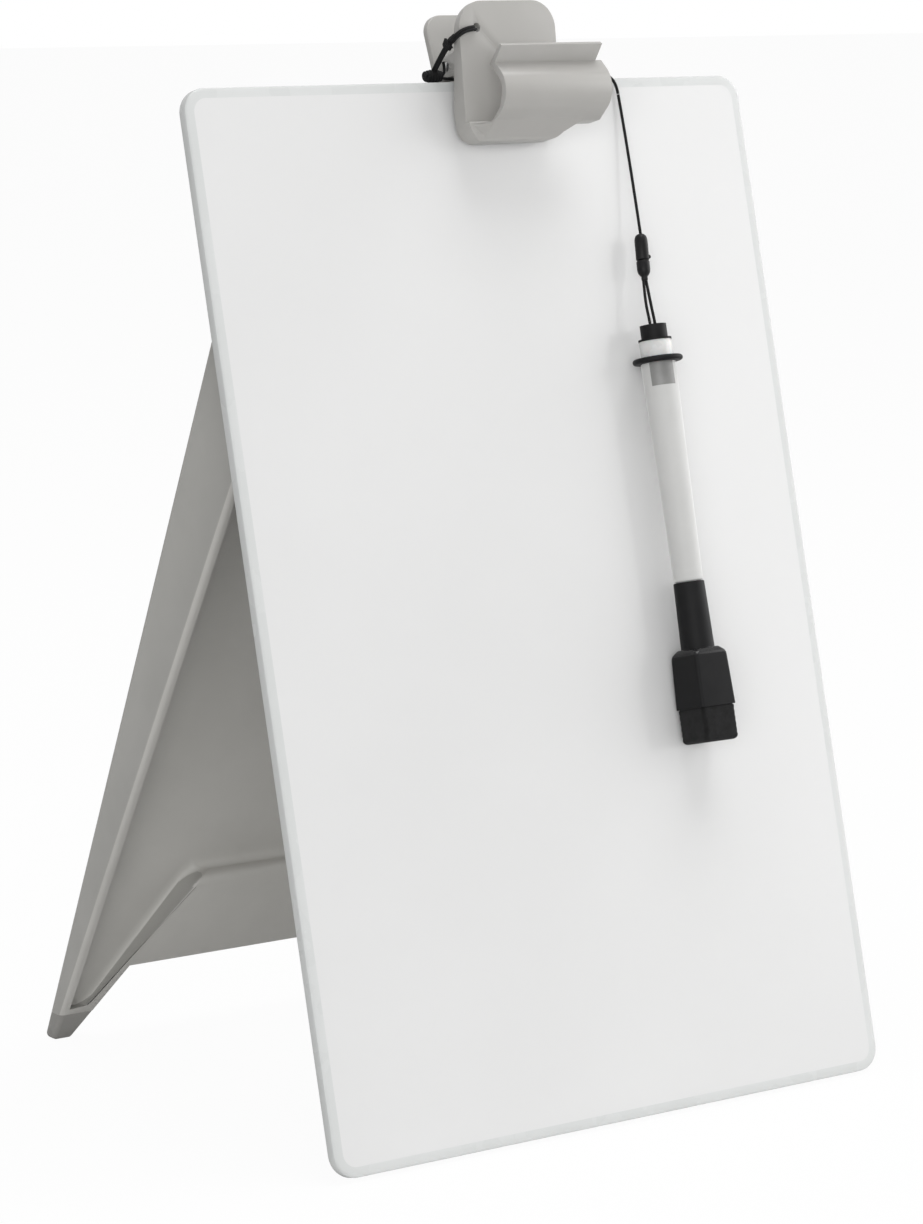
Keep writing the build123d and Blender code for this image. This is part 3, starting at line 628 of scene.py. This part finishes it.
hitchSize = {
    "place": (-13.5, 350.2, 8.0), "strand": (0.1, -0.6, -0.79), "wide": 1.45, "thick": 0.85,
    "turns": 2.2, "turnSteps": 12, "pitch": 0.92, "tail": [(0, 0, 0), (0.6, -0.2, 1.0), (1.0, -1.2, 0.6)],
}


def makeHitch():
    centre = Vector(hitchSize["place"])
    along = Vector((*cordSize["lay"], 0))  # the two strands lie one above the other along this
    strand = Vector(hitchSize["strand"]).normalized()
    across = along.cross(strand).normalized()
    points = []
    count = int(hitchSize["turns"] * hitchSize["turnSteps"])
    for step in range(count + 1):
        share = step / count
        angle = 2 * pi * hitchSize["turns"] * share
        offset = along * hitchSize["wide"] * cos(angle) + across * hitchSize["thick"] * sin(angle)
        offset += strand * hitchSize["pitch"] * hitchSize["turns"] * (share - 0.5)
        points.append(onBoard(*(centre + offset)))
    wraps = wireMesh("hitchWraps", points, cordRadius, knotCord, cordSize["sides"])
    line = [onBoard(*(centre + Vector(step))) for step in hitchSize["tail"]]
    tail = wireMesh("hitchTail", line, cordRadius, knotCord, cordSize["sides"])
    mesh = joinMeshes("loopHitch", [wraps, tail])
    return keepPiece("loopHitch", mesh, [knotCord], "clip_front", "loop_hitch", smooth=60)


knot = makeKnot()
hitch = makeHitch()


# connector: two halves that pull apart, each turned about the connector's axis

print("connector")
connectorSize = {
    "top": (54.9, 286.4, 5.7), "bottom": (53.0, 270.7, 6.9), "radius": 2.2, "split": 0.56, "gap": 0.3,
    "pegRadius": 1.2, "pegLength": 4.5, "steps": 40,
}


def connectorPlace(share, shift=0.0):
    top, bottom = Vector(connectorSize["top"]), Vector(connectorSize["bottom"])
    axis = (bottom - top).normalized()
    start = onBoard(*(top + (bottom - top) * share + axis * shift))
    direction = (onBoard(*bottom) - onBoard(*top)).normalized()
    turn = direction.to_track_quat("-Z", "Y").to_matrix().to_4x4()
    return Matrix.Translation(start) @ turn, (bottom - top).length


nubSize = {
    "drop": 7.7, "turn": 180, "sunk": 0.15, "steps": 16,
    "profile": [(0.0, 0.75), (0.4, 0.7), (0.62, 0.45), (0.72, 0), (0.72, -0.6), (0, -0.6)],
}


def addNub(shape):
    toRight = Matrix.Rotation(radians(nubSize["turn"]), 4, "Z") @ Matrix.Rotation(radians(90), 4, "Y")
    seat = Matrix.Translation(Vector((0, 0, -nubSize["drop"])) * millimetre)
    out = Matrix.Translation(Vector((0, 0, connectorSize["radius"] - nubSize["sunk"])) * millimetre)
    addTurned(shape, nubSize["profile"], nubSize["steps"], seat @ toRight @ out)


socketSize = {
    "crown": [(0, 0), (0.8, -0.03), (1.25, -0.2), (1.7, -0.6), (1.98, -1.15), (2.14, -1.9), (2.2, -2.8)],
    "rim": [(0, 0.3), (-0.06, 0.12), (-0.2, 0)], "mouth": [(0.15, 0), (0, 0.15)], "slack": 0.05, "cone": 0.2,
}


def makeSocket():
    place, length = connectorPlace(0)
    end = -length * connectorSize["split"]
    radius, bore = connectorSize["radius"], connectorSize["pegRadius"] + socketSize["slack"]
    floor = end + connectorSize["pegLength"]
    profile = socketSize["crown"] + [(radius + r, end + z) for r, z in socketSize["rim"]]
    profile += [(bore + r, end + z) for r, z in socketSize["mouth"]]
    profile += [(bore, floor), (0, floor + socketSize["cone"])]
    shape = bmesh.new()
    addTurned(shape, profile, connectorSize["steps"])
    addNub(shape)
    mesh = closeMesh(shape, "connectorSocket", place)
    finishes = [connectorBlack]
    return keepPiece("connectorSocket", mesh, finishes, "tether", "connector_socket")


plugSize = {
    "tip": 0.3, "neck": 1.5, "rim": [(-0.2, 0), (-0.06, -0.12), (0, -0.3)],
    "taper": [(2.2, 2.4), (2.12, 1.7), (1.94, 1.05), (1.6, 0.5), (1.28, 0.12), (1.1, -0.1)],
    "foot": [(1.05, 0.3), (0.85, 0), (0, 0)],
}


def makePlug():
    place, length = connectorPlace(connectorSize["split"], connectorSize["gap"])
    end = -(length * (1 - connectorSize["split"]) - connectorSize["gap"])
    radius, peg, top = (connectorSize[key] for key in ("radius", "pegRadius", "pegLength"))
    low = end + plugSize["neck"]
    profile = [(0, top), (peg - plugSize["tip"], top), (peg, top - plugSize["tip"]), (peg, 0)]
    profile += [(radius + r, z) for r, z in plugSize["rim"]]
    profile += [(r, low + z) for r, z in plugSize["taper"]]
    profile += [(r, end + z) for r, z in plugSize["foot"]]
    mesh = turnedMesh("connectorPlug", profile, connectorSize["steps"], place)
    finishes = [connectorBlack]
    return keepPiece("connectorPlug", mesh, finishes, "leash", "connector_plug")


socket = makeSocket()
plug = makePlug()


# board

print("board")
glassSize = {
    "width": 220, "height": 340, "corner": 8, "leastCorner": 0.5, "cornerSteps": 12, "thickness": 4,
    "arris": 0.8, "arrisRound": [(0, 1), (0.13, 0.5), (0.4, 0.16), (1, 0)], "paintInset": 3.3, "backInset": 4,
}


def makeGlass():
    shape = bmesh.new()
    depth, arris = glassSize["thickness"], glassSize["arris"]

    def outline(inset):
        size = [(v - 2 * inset) * millimetre for v in (glassSize["width"], glassSize["height"])]
        radius = max(glassSize["corner"] - inset, glassSize["leastCorner"]) * millimetre
        middle = glassSize["height"] / 2 * millimetre
        return [(x, z + middle) for x, z in roundedOutline(*size, radius, glassSize["cornerSteps"])]

    edge = [(arris * share, arris * inset) for share, inset in glassSize["arrisRound"]]
    layers = [(0, glassSize["paintInset"])] + edge
    layers += [(depth - y, inset) for y, inset in reversed(edge)] + [(depth, glassSize["backInset"])]
    addSlab(shape, outline, [(y * millimetre, inset) for y, inset in layers], sideFinish=1)
    mesh = closeMesh(shape, "glassPanel", boardPlace)
    keepPiece("glassPanel", mesh, [whiteGlass, clearRim], "board", "glass_panel", smooth=25)


foamSize = {
    "half": 93.8, "front": 4.5, "back": 5.3, "width": 14, "heights": (60, 160, 260), "corner": 1.0,
    "cornerSteps": 4, "edgeRound": (0.15, 0.12), "waist": (0.1, 0.14),
}


def makeFoam():
    shape = bmesh.new()
    middle = (foamSize["front"] + foamSize["back"]) / 2
    thick = (foamSize["back"] - foamSize["front"]) / 2

    def outline(inset):
        size = (2 * (foamSize["half"] - inset), foamSize["width"] - 2 * inset)
        return scaled(roundedOutline(*size, foamSize["corner"], foamSize["cornerSteps"]))

    depth, inset = foamSize["edgeRound"]
    layers = [(thick, inset), (thick - depth, 0), foamSize["waist"]]
    layers = [(-y, inset) for y, inset in layers] + layers[::-1]
    addSlab(shape, outline, [(y * millimetre, inset) for y, inset in layers])
    strip = closeMesh(shape, "foamStrip")
    mesh = repeatOnBoard("foamStrips", strip, [(0, t, -middle) for t in foamSize["heights"]], foamTape)
    keepPiece("foamStrips", mesh, [foamTape], "board", "foam_tape_strips")


screwSize = {
    "x": 89.4, "spacing": 21, "seat": 14.5, "reach": 7.5, "turn": 1.5, "steps": 32, "head": 1.7,
    "headRadius": 2.8, "shank": 1.5, "rim": 0.08, "rimInset": 0.12, "point": 0.6,
    "recess": [(0, 0.42), (0.55, 0.5), (0.75, 0.97), (0.95, 1)],
    "dome": [(0.55, 0.94), (0.84, 0.72), (1, 0.32)],
}


def screwMesh():
    radius, head, shank = (screwSize[key] for key in ("headRadius", "head", "shank"))
    deep = screwSize["seat"] - screwSize["reach"]
    profile = [(r, head * z) for r, z in screwSize["recess"]]
    profile += [(radius * r, head * z) for r, z in screwSize["dome"]]
    profile += [(radius, screwSize["rim"]), (radius - screwSize["rimInset"], 0), (shank, 0)]
    profile += [(shank, screwSize["point"] - deep), (shank / 2, -deep), (0, -deep)]
    back = Matrix.Rotation(radians(-90), 4, "X")  # heads point backwards, away from the glass
    return turnedMesh("screw", profile, screwSize["steps"], back)


def makeScrews():
    toBoard = boardPlace.inverted()
    low, high = [toBoard @ Vector(corner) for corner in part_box("bracket_screws")]
    height = (low.z + high.z) / 2 / millimetre
    places = []
    for side in (-1, 1):
        for step in (-0.5, 0.5):
            places.append((side * screwSize["x"], height + step * screwSize["spacing"], -screwSize["seat"]))
    mesh = repeatOnBoard("bracketScrews", screwMesh(), places, hardwareSteel, screwSize["turn"])
    keepPiece("bracketScrews", mesh, [hardwareSteel], "board", "bracket_screws")


bumperSize = {
    "front": 4.9, "back": 10.1, "top": 8.0, "length": 25, "middle": 82.5, "lift": 1.6, "round": 0.7,
    "roundSteps": 5, "layers": [(0, 0.35), (0.02, 0.1), (0.06, 0), (0.94, 0), (0.98, 0.1), (1, 0.35)],
}


def bumperMesh():
    front, back, top = bumperSize["front"], bumperSize["back"], bumperSize["top"]
    lean = radians(boardStand["lean"])
    depth, half = back - front, bumperSize["length"] / 2
    rings = []
    for share, inset in bumperSize["layers"]:
        size = (2 * (half - inset), depth - 2 * inset)
        ring = []
        for x, y in roundedOutline(*size, bumperSize["round"], bumperSize["roundSteps"]):
            y += (front + back) / 2
            foot = (y * sin(lean) - bumperSize["lift"]) / cos(lean)  # cut level with the desk
            ring.append((x, y, foot + (top - foot) * share))
        rings.append(ring)
    return ringMesh("bumper", rings)


def makeBumpers():
    places = [(side * bumperSize["middle"], 0, 0) for side in (-1, 1)]
    mesh = repeatOnBoard("boardBumpers", bumperMesh(), places, darkRubber)
    keepPiece("boardBumpers", mesh, [darkRubber], "board", "board_bumpers")


makeGlass()
makeFoam()
makeScrews()
makeBumpers()


# stand: the foot beam's step runs softly into the tray

print("stand")
standSize = {
    "beamCorners": [(58.4, 59.3, 60.5), (58.4, 70.7, 60.5), (87.5, 87.7, 12.0), (87.5, 92.9, 12.0)],
    "beamNear": 0.4, "beamSharp": 30, "beamRound": 5.4, "beamSteps": 6, "flankShare": 0.28,
    "rimSharp": 50, "rimRound": 0.6, "rimSteps": 3, "capRound": 0.45,
}


def atBeam(vertex):
    x, y, z = vertex.co / millimetre
    corners, near = standSize["beamCorners"], standSize["beamNear"]
    return any(abs(abs(x) - a) + abs(y - b) + abs(z - c) < near for a, b, c in corners)


# which faces take the paler copy: painted light on the forward-facing hollow and on the ledge's upward faces
paintedLightSide = {
    "from": -0.35, "ledgeUp": 0.3, "ledgeAcross": 0.35, "ledgeLow": 52, "ledgeHigh": 70, "ledgeHalf": 70,
}


def isPaintedLight(face):  # the hollow side and the beam ledge's upward faces take a paler copy of the plastic: painted light where the tray lies in shade
    spot = face.calc_center_median() / millimetre
    upward = face.normal.z > paintedLightSide["ledgeUp"] and abs(face.normal.x) < paintedLightSide["ledgeAcross"]
    inLedge = paintedLightSide["ledgeLow"] < spot.z < paintedLightSide["ledgeHigh"] and abs(spot.x) < paintedLightSide["ledgeHalf"]
    return face.normal.y < paintedLightSide["from"] or (upward and inLedge)


def makeStand():
    shape = looseCopy("stand")
    weights = shape.edges.layers.float.new("bevel_weight_edge")
    for edge in sharpEdges(shape, standSize["beamSharp"]):
        if atBeam(edge.verts[0]) and atBeam(edge.verts[1]):
            level = abs(edge.verts[0].co.z - edge.verts[1].co.z) < millimetre
            edge[weights] = 1 if level else standSize["flankShare"]
    holder = placeObject("standSource", shapeMesh(shape, "standSource"))
    bevel = holder.modifiers.new("beamRound", "BEVEL")
    bevel.limit_method = "WEIGHT"
    bevel.width = standSize["beamRound"] * millimetre
    bevel.segments = standSize["beamSteps"]
    shape = bmesh.new()
    shape.from_mesh(takeMesh(holder))
    roundEdges(shape, sharpEdges(shape, standSize["rimSharp"]), standSize["rimRound"], standSize["rimSteps"])
    shape.normal_update()
    for face in shape.faces:
        # the paler finish on the hollow and the ledge top is painted light, not a different moulding
        face.material_index = 1 if isPaintedLight(face) else 0
    mesh = closeMesh(shape, "stand")
    keepPiece("foldingStand", mesh, [standPlastic, trayPaintedLight], "stand", "stand", smooth=30)


def makeFeet():
    mesh = softenedCopy("foot_caps", standSize["capRound"])
    keepPiece("footCaps", mesh, [footPlastic], "stand", "foot_caps", smooth=30)


makeStand()
makeFeet()


# clip: soft-edged jaws, ribbed pads and the coiled spring

print("clip")
clipSize = {"middle": 8.3, "frontRound": 0.7, "rearRound": 0.5}
webSize = {
    "outer": (16.4, 323.74), "inner": (16.2, 324.3), "foot": (9.33, 319.53), "crease": (15.3, 323.08),
    "floor": 323.6, "ledge": (10.2, 323.4), "ledgeFoot": (9.0, 321.0), "lap": 0.3,
    "corner": [(-9.6, 1), (-8.8, 0.93), (-7.9, 0.76), (-7.0, 0.54), (-6.2, 0.32), (-5.6, 0.16), (-5.2, 0.06)],
    "ends": [
        (-4.98, 0.02), (-4.6, 0), (5, 0), (21.9, 0), (24, 0.09), (26, 0.3),
        (27.5, 0.55), (29, 0.8), (30.5, 0.97),
    ],
}


def webMesh():  # carries the trough's sloping underside on to the ledge's foot, and round its open corner
    foot, crease, floor, lap = (webSize[key] for key in ("foot", "crease", "floor", "lap"))
    sections = []
    for x, share in webSize["corner"]:
        tip = between(crease, webSize["ledge"], share)
        low = between(foot, webSize["ledgeFoot"], share)
        sections.append((x, [tip, low, (low[0], floor), (tip[0] - 2 * lap, floor), (tip[0] - lap, floor)]))
    for x, share in webSize["ends"]:
        low = between(foot, crease, share)
        sections.append((x, [webSize["outer"], low, (low[0], floor), (crease[0], floor), webSize["inner"]]))
    return ringMesh("web", [[(x, -n, t) for n, t in section] for x, section in sections], boardPlace)


def makeFrontJaw():
    mesh = joinMeshes("clipFrontJaw", [softenedCopy("clip_front_jaw", clipSize["frontRound"]), webMesh()])
    keepPiece("clipFrontJaw", mesh, [clipPlastic], "clip_front", "clip_front_jaw", smooth=30)


def makeRearJaw():
    mesh = softenedCopy("clip_rear_jaw", clipSize["rearRound"])
    keepPiece("clipRearJaw", mesh, [clipPlastic], "clip_rear", "clip_rear_jaw", smooth=30)


padSize = {
    "low": 320.4, "high": 327.0, "corner": 0.8, "cornerSteps": 5,
    "layers": [(0, 0.2), (0.2, 0), (0.9, 0), (1, 0.25)],
    "ribs": 6, "ribHeight": 0.45, "ribHalf": 0.34, "ribShort": 1.2,
    "ribSection": [(-1, 1.6), (-1, 0.5), (-0.6, 0.12), (0, 0), (0.6, 0.12), (1, 0.5), (1, 1.6)],
}


def ribMesh(length):
    high, half = padSize["ribHeight"], padSize["ribHalf"]
    section = [(high * y, half * z) for z, y in padSize["ribSection"]]
    return ringMesh("rib", [[(x, *corner) for corner in section] for x in (-length / 2, length / 2)])


def makePad(name, node, body, half, face, back):  # face touches the board; back lists the low and high depths
    low, high = padSize["low"], padSize["high"]
    outward = 1 if back[0] > face else -1
    seat = face + outward * padSize["ribHeight"]
    rings = []
    for share, inset in padSize["layers"]:
        size = (2 * (half - inset), high - low - 2 * inset)
        ring = []
        for x, z in roundedOutline(*size, padSize["corner"], padSize["cornerSteps"]):
            t = z + (low + high) / 2
            rear = back[0] + (back[1] - back[0]) * (t - low) / (high - low)
            ring.append((x + clipSize["middle"], -seat - (rear - seat) * share, t))
        rings.append(ring)
    base = ringMesh(name + "Base", rings, boardPlace)
    step = (high - low) / padSize["ribs"]
    places = [(clipSize["middle"], low + step * (k + 0.5), face) for k in range(padSize["ribs"])]
    rib = ribMesh(2 * half - padSize["ribShort"])
    if outward > 0:
        rib.transform(Matrix.Rotation(pi, 4, "X"))
    ribs = repeatOnBoard(name + "Ribs", rib, places, darkRubber)
    mesh = joinMeshes(name, [base, ribs])
    keepPiece(name, mesh, [darkRubber], body, node)


springSize = {
    "length": 15, "wire": 1.2, "sides": 10, "radius": 2.4, "n": -2.5, "t": 345.3,
    "turns": 11, "turnSteps": 16, "footT": 355, "footFront": 9.15, "footBack": -9.34,
    "frontBend": (0.4, 1.2), "rearBend": (0.2, -1.0), "bendFrom": (0.2, 0), "bendTo": (1.9, -2.0),
}


def makeSpring():
    middle, t, n, reach = clipSize["middle"], springSize["t"], springSize["n"], springSize["radius"]
    span = springSize["length"] - springSize["wire"]
    left, top = middle - span / 2, t + reach

    def bend(x, key):  # a point beside the coil's top
        up, out = springSize[key]
        return (x, top + up, n + out)

    points = [(left, springSize["footT"], springSize["footFront"]), bend(left, "frontBend")]
    count = springSize["turns"] * springSize["turnSteps"]
    for step in range(count + 1):
        share = step / count
        angle = 2 * pi * springSize["turns"] * share
        points.append((left + span * share, t + reach * cos(angle), n - reach * sin(angle)))
    points += [bend(left + span, "rearBend"), (left + span, springSize["footT"], springSize["footBack"])]
    line = [onBoard(*p) for p in points]
    mesh = wireMesh("clipSpring", line, springSize["wire"] / 2 * millimetre, springSteel, springSize["sides"])
    spring = keepPiece("clipSpring", mesh, [springSteel], None, "clip_spring", smooth=60)
    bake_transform(spring)  # on no body, baked in place; the rear leg is drawn at the rear jaw


makeFrontJaw()
makeRearJaw()
makePad("frontGripPad", "front_grip_pad", "clip_front", half=14.1, face=0.3, back=(2.5, 2.5))
makePad("rearGripPad", "rear_grip_pad", "clip_rear", half=10.7, face=-4.8, back=(-5.876, -6.709))
makeSpring()


# pen: turned about its own axis, then hung from the loop

print("pen")
penAxis = penPlace @ Matrix.Translation(Vector((penHang["x"], penHang["depth"], 0)) * millimetre)
labelSize = {"top": 243.0, "bottom": 235.3, "middle": 244, "half": 43}
barrelSize = {
    "steps": 120, "frostedFrom": 4.7, "labelFrom": 5.5, "seam": 0.05,
    "outer": [
        (4.25, 250.4), (5.3, 250.4), (5.35, 250.3), (5.35, 243.1), (5.65, 243.1), (5.73, 243.02),
        (5.75, labelSize["top"] - 0.1), (5.72, labelSize["bottom"]), (5.3, 207.0), (4.88, 171.1),
        (4.84, 170.75), (4.65, 170.5), (4.1, 170.5), (3.97, 170.3),
    ],
    "inner": [
        (3.95, 156.45), (3.75, 156.1), (3.5, 156.0), (3.3, 156.0), (3.2, 156.15), (3.2, 172.5), (4.2, 172.5),
        (4.2, 250.35), (4.25, 250.4),
    ],
}


def makeBarrel():
    shape = bmesh.new()
    addTurned(shape, barrelSize["outer"] + barrelSize["inner"], barrelSize["steps"])
    for face in shape.faces:
        spot = face.calc_center_median() / millimetre
        reach = spot.xy.length
        if barrelSize["frostedFrom"] < reach and spot.z < labelSize["top"] + barrelSize["seam"]:
            face.material_index = 2
        angle = degrees(atan2(spot.y, spot.x)) % 360
        inBand = labelSize["bottom"] < spot.z < labelSize["top"] and reach > barrelSize["labelFrom"]
        if inBand and abs(angle - labelSize["middle"]) < labelSize["half"]:
            face.material_index = 1
    mesh = closeMesh(shape, "penBarrel", penAxis)
    keepPiece("penBarrel", mesh, [penWhite, labelGrey, penFrosted], "pen", "pen_barrel")


ringSize = {
    "steps": 80,
    "profile": [
        (5.35, 243.15), (5.6, 243.1), (7.75, 243.12), (8.1, 243.3), (8.3, 243.65), (8.35, 244.0),
        (8.28, 244.4), (8.05, 244.75), (7.7, 244.92), (6.3, 244.98), (5.6, 244.98), (5.35, 244.9),
        (5.35, 243.15),
    ],
}


def makeRing():
    mesh = turnedMesh("penGuardRing", ringSize["profile"], ringSize["steps"], penAxis)
    keepPiece("penGuardRing", mesh, [penBlack], "pen", "pen_guard_ring")


squareSteps = 10


def addSquare(shape, layers):  # layers: (half width, half depth, corner radius, height)
    rings = []
    for halfX, halfY, radius, z in layers:
        rings.append([(x, y, z) for x, y in roundedOutline(2 * halfX, 2 * halfY, radius, squareSteps)])
    addRings(shape, rings)


capSize = {
    "steps": 72, "glossLow": 146.2, "glossHigh": 148.3, "glossFrom": 5.2,
    "sleeve": [
        (0, 147.0), (4.05, 147.0), (4.05, 169.7), (4.2, 170.0), (4.4, 170.18), (4.85, 170.2), (5.05, 170.05),
        (5.14, 169.7), (5.35, 159.0), (5.55, 148.2), (5.55, 146.0), (0, 146.0),
    ],
    "holder": [
        (5.2, 5.4, 2.2, 148.15), (5.5, 5.7, 2.2, 148.0), (6.25, 6.45, 1.9, 147.1), (6.55, 6.75, 1.6, 146.6),
        (6.7, 6.9, 1.4, 146.0), (6.75, 6.95, 1.2, 145.2), (7.12, 7.32, 1.0, 129.1), (7.12, 7.32, 1.0, 128.85),
        (7.0, 7.2, 0.9, 128.7), (5.65, 5.85, 0.6, 128.7), (5.5, 5.7, 0.5, 128.85), (5.5, 5.7, 0.5, 142.0),
    ],
}


def makeCap():
    shape = bmesh.new()
    addTurned(shape, capSize["sleeve"], capSize["steps"])
    addSquare(shape, capSize["holder"])
    for face in shape.faces:
        spot = face.calc_center_median() / millimetre
        if capSize["glossLow"] < spot.z < capSize["glossHigh"] and spot.xy.length > capSize["glossFrom"]:
            face.material_index = 1
    mesh = closeMesh(shape, "penCap", penAxis)
    keepPiece("penCap", mesh, [penBlack, penGloss], "cap", "pen_cap")


feltSize = {
    "halfX": 6.84, "halfY": 7.04, "top": 128.7, "bottom": 117.1, "round": 1.5, "tenon": (5.5, 5.7, 0.5),
    "tenonTop": 130.7, "shoulderInset": 0.3, "shoulder": 0.4, "rows": 14, "wave": 0.05, "waveStep": 2.3,
    "footSteps": 6, "footNarrow": 0.4, "leastRound": 0.6,
}


def makeFelt():
    shape = bmesh.new()
    x, y, r, low, high = (feltSize[key] for key in ("halfX", "halfY", "round", "bottom", "top"))
    inset, shoulder, rows, wave = (feltSize[key] for key in ("shoulderInset", "shoulder", "rows", "wave"))
    layers = [(*feltSize["tenon"], feltSize["tenonTop"]), (*feltSize["tenon"], high)]
    layers += [(x - inset, y - inset, r, high), (x, y, r, high - shoulder)]
    for k in range(1, rows):
        swell = wave * sin(k * feltSize["waveStep"])
        height = high - shoulder + (low + r - high + shoulder) * k / rows
        layers.append((x + swell - wave, y + swell - wave, r, height))
    for k in range(feltSize["footSteps"] + 1):
        angle = k / feltSize["footSteps"] * pi / 2
        inset = r * (1 - cos(angle))
        corner = max(r - inset * feltSize["footNarrow"], feltSize["leastRound"])
        layers.append((x - inset, y - inset, corner, low + r - r * sin(angle)))
    addSquare(shape, layers)
    mesh = closeMesh(shape, "eraserFelt", penAxis)
    keepPiece("eraserFelt", mesh, [eraserFelt], "cap", "eraser_felt", smooth=50)


makeBarrel()
makeRing()
makeCap()
makeFelt()


# kept pieces take their finish on the solid itself

print("kept pieces")
keptFinishes = {
    "steel_backing_sheet": sheetSteel,
    "back_shell": standPlastic,
    "hinge_brackets": hardwareSteel,
    "hinge_pins": hardwareSteel,
    "clip_pivot_pin": hardwareSteel,
    "pen_end_plug": penBlack,
    "ink_reservoir": inkFibre,
    "nib_holder": penWhite,
    "felt_nib": nibFibre,
    "cap_magnet": magnetNickel,
}
for node, finish in keptFinishes.items():
    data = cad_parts[node].data
    data.materials.clear()
    data.materials.append(finish)


# floor, backdrop and light

print("light")
studio = {"air": 0.28, "floorTone": 0.84, "floorRough": 0.9, "floorHalf": 12, "floorWhite": 0.96}


def makeFloor():
    half = studio["floorHalf"]
    corners = [(-half, -half, 0), (half, -half, 0), (half, half, 0), (-half, half, 0)]
    mesh = bpy.data.meshes.new("floor")
    mesh.from_pydata(corners, [], [(0, 1, 2, 3)])
    floor = placeObject("floor", mesh)
    material = bpy.data.materials.new("paleFloor")
    material.use_nodes = True
    tree = material.node_tree
    shader = tree.nodes["Principled BSDF"]
    shader.inputs["Base Color"].default_value = (studio["floorTone"],) * 3 + (1,)
    shader.inputs["Roughness"].default_value = studio["floorRough"]
    shader.inputs["Specular IOR Level"].default_value = 0.0
    white = addNode(tree, "ShaderNodeEmission", Color=(1, 1, 1, 1))
    rays = tree.nodes.new("ShaderNodeLightPath").outputs
    seen = addNode(
        tree, "ShaderNodeMath", rays["Is Camera Ray"], rays["Is Transmission Ray"], operation="MAXIMUM",
    )
    share = addNode(tree, "ShaderNodeMath", seen, studio["floorWhite"], operation="MULTIPLY")
    mix = addNode(tree, "ShaderNodeMixShader", share, shader, white)
    feed(tree, tree.nodes["Material Output"].inputs["Surface"], mix)
    mesh.materials.append(material)


def makeAir():  # white behind the easel, softer where it only lights it
    world = bpy.data.worlds.new("studioAir")
    bpy.context.scene.world = world
    world.use_nodes = True
    tree = world.node_tree
    tree.nodes.clear()
    rays = tree.nodes.new("ShaderNodeLightPath").outputs
    seen = addNode(tree, "ShaderNodeMath", rays["Is Camera Ray"], rays["Is Glossy Ray"], operation="MAXIMUM")
    shown = addNode(tree, "ShaderNodeMath", seen, rays["Is Transmission Ray"], operation="MAXIMUM")
    lightAir, whiteAir = [
        addNode(tree, "ShaderNodeBackground", Color=(1, 1, 1, 1), Strength=power)
        for power in (studio["air"], 1.0)
    ]
    mix = addNode(tree, "ShaderNodeMixShader", shown, lightAir, whiteAir)
    addNode(tree, "ShaderNodeOutputWorld", mix)


def makeLamp(name, place, aim, size, power):
    lamp = bpy.data.lights.new(name, "AREA")
    lamp.shape = "DISK"
    lamp.size = size
    lamp.energy = power
    holder = placeObject(name, lamp)
    holder.location = place
    holder.rotation_mode = "QUATERNION"
    holder.rotation_quaternion = (Vector(aim) - Vector(place)).to_track_quat("-Z", "Y")


makeFloor()
makeAir()
bpy.context.scene.view_settings.view_transform = "Standard"
lampAim = (0, 0, 0.17)
lamps = {
    "sideLamp": {"place": (1.7, -0.65, 0.62), "size": 2.1, "power": 24},
    "fillLamp": {"place": (-2.5, -3.1, 0.45), "size": 3.4, "power": 102},
    "topLamp": {"place": (0.25, -0.3, 2.2), "size": 1.4, "power": 25},
}
for name, lamp in lamps.items():
    makeLamp(name, lamp["place"], lampAim, lamp["size"], lamp["power"])

print("done")
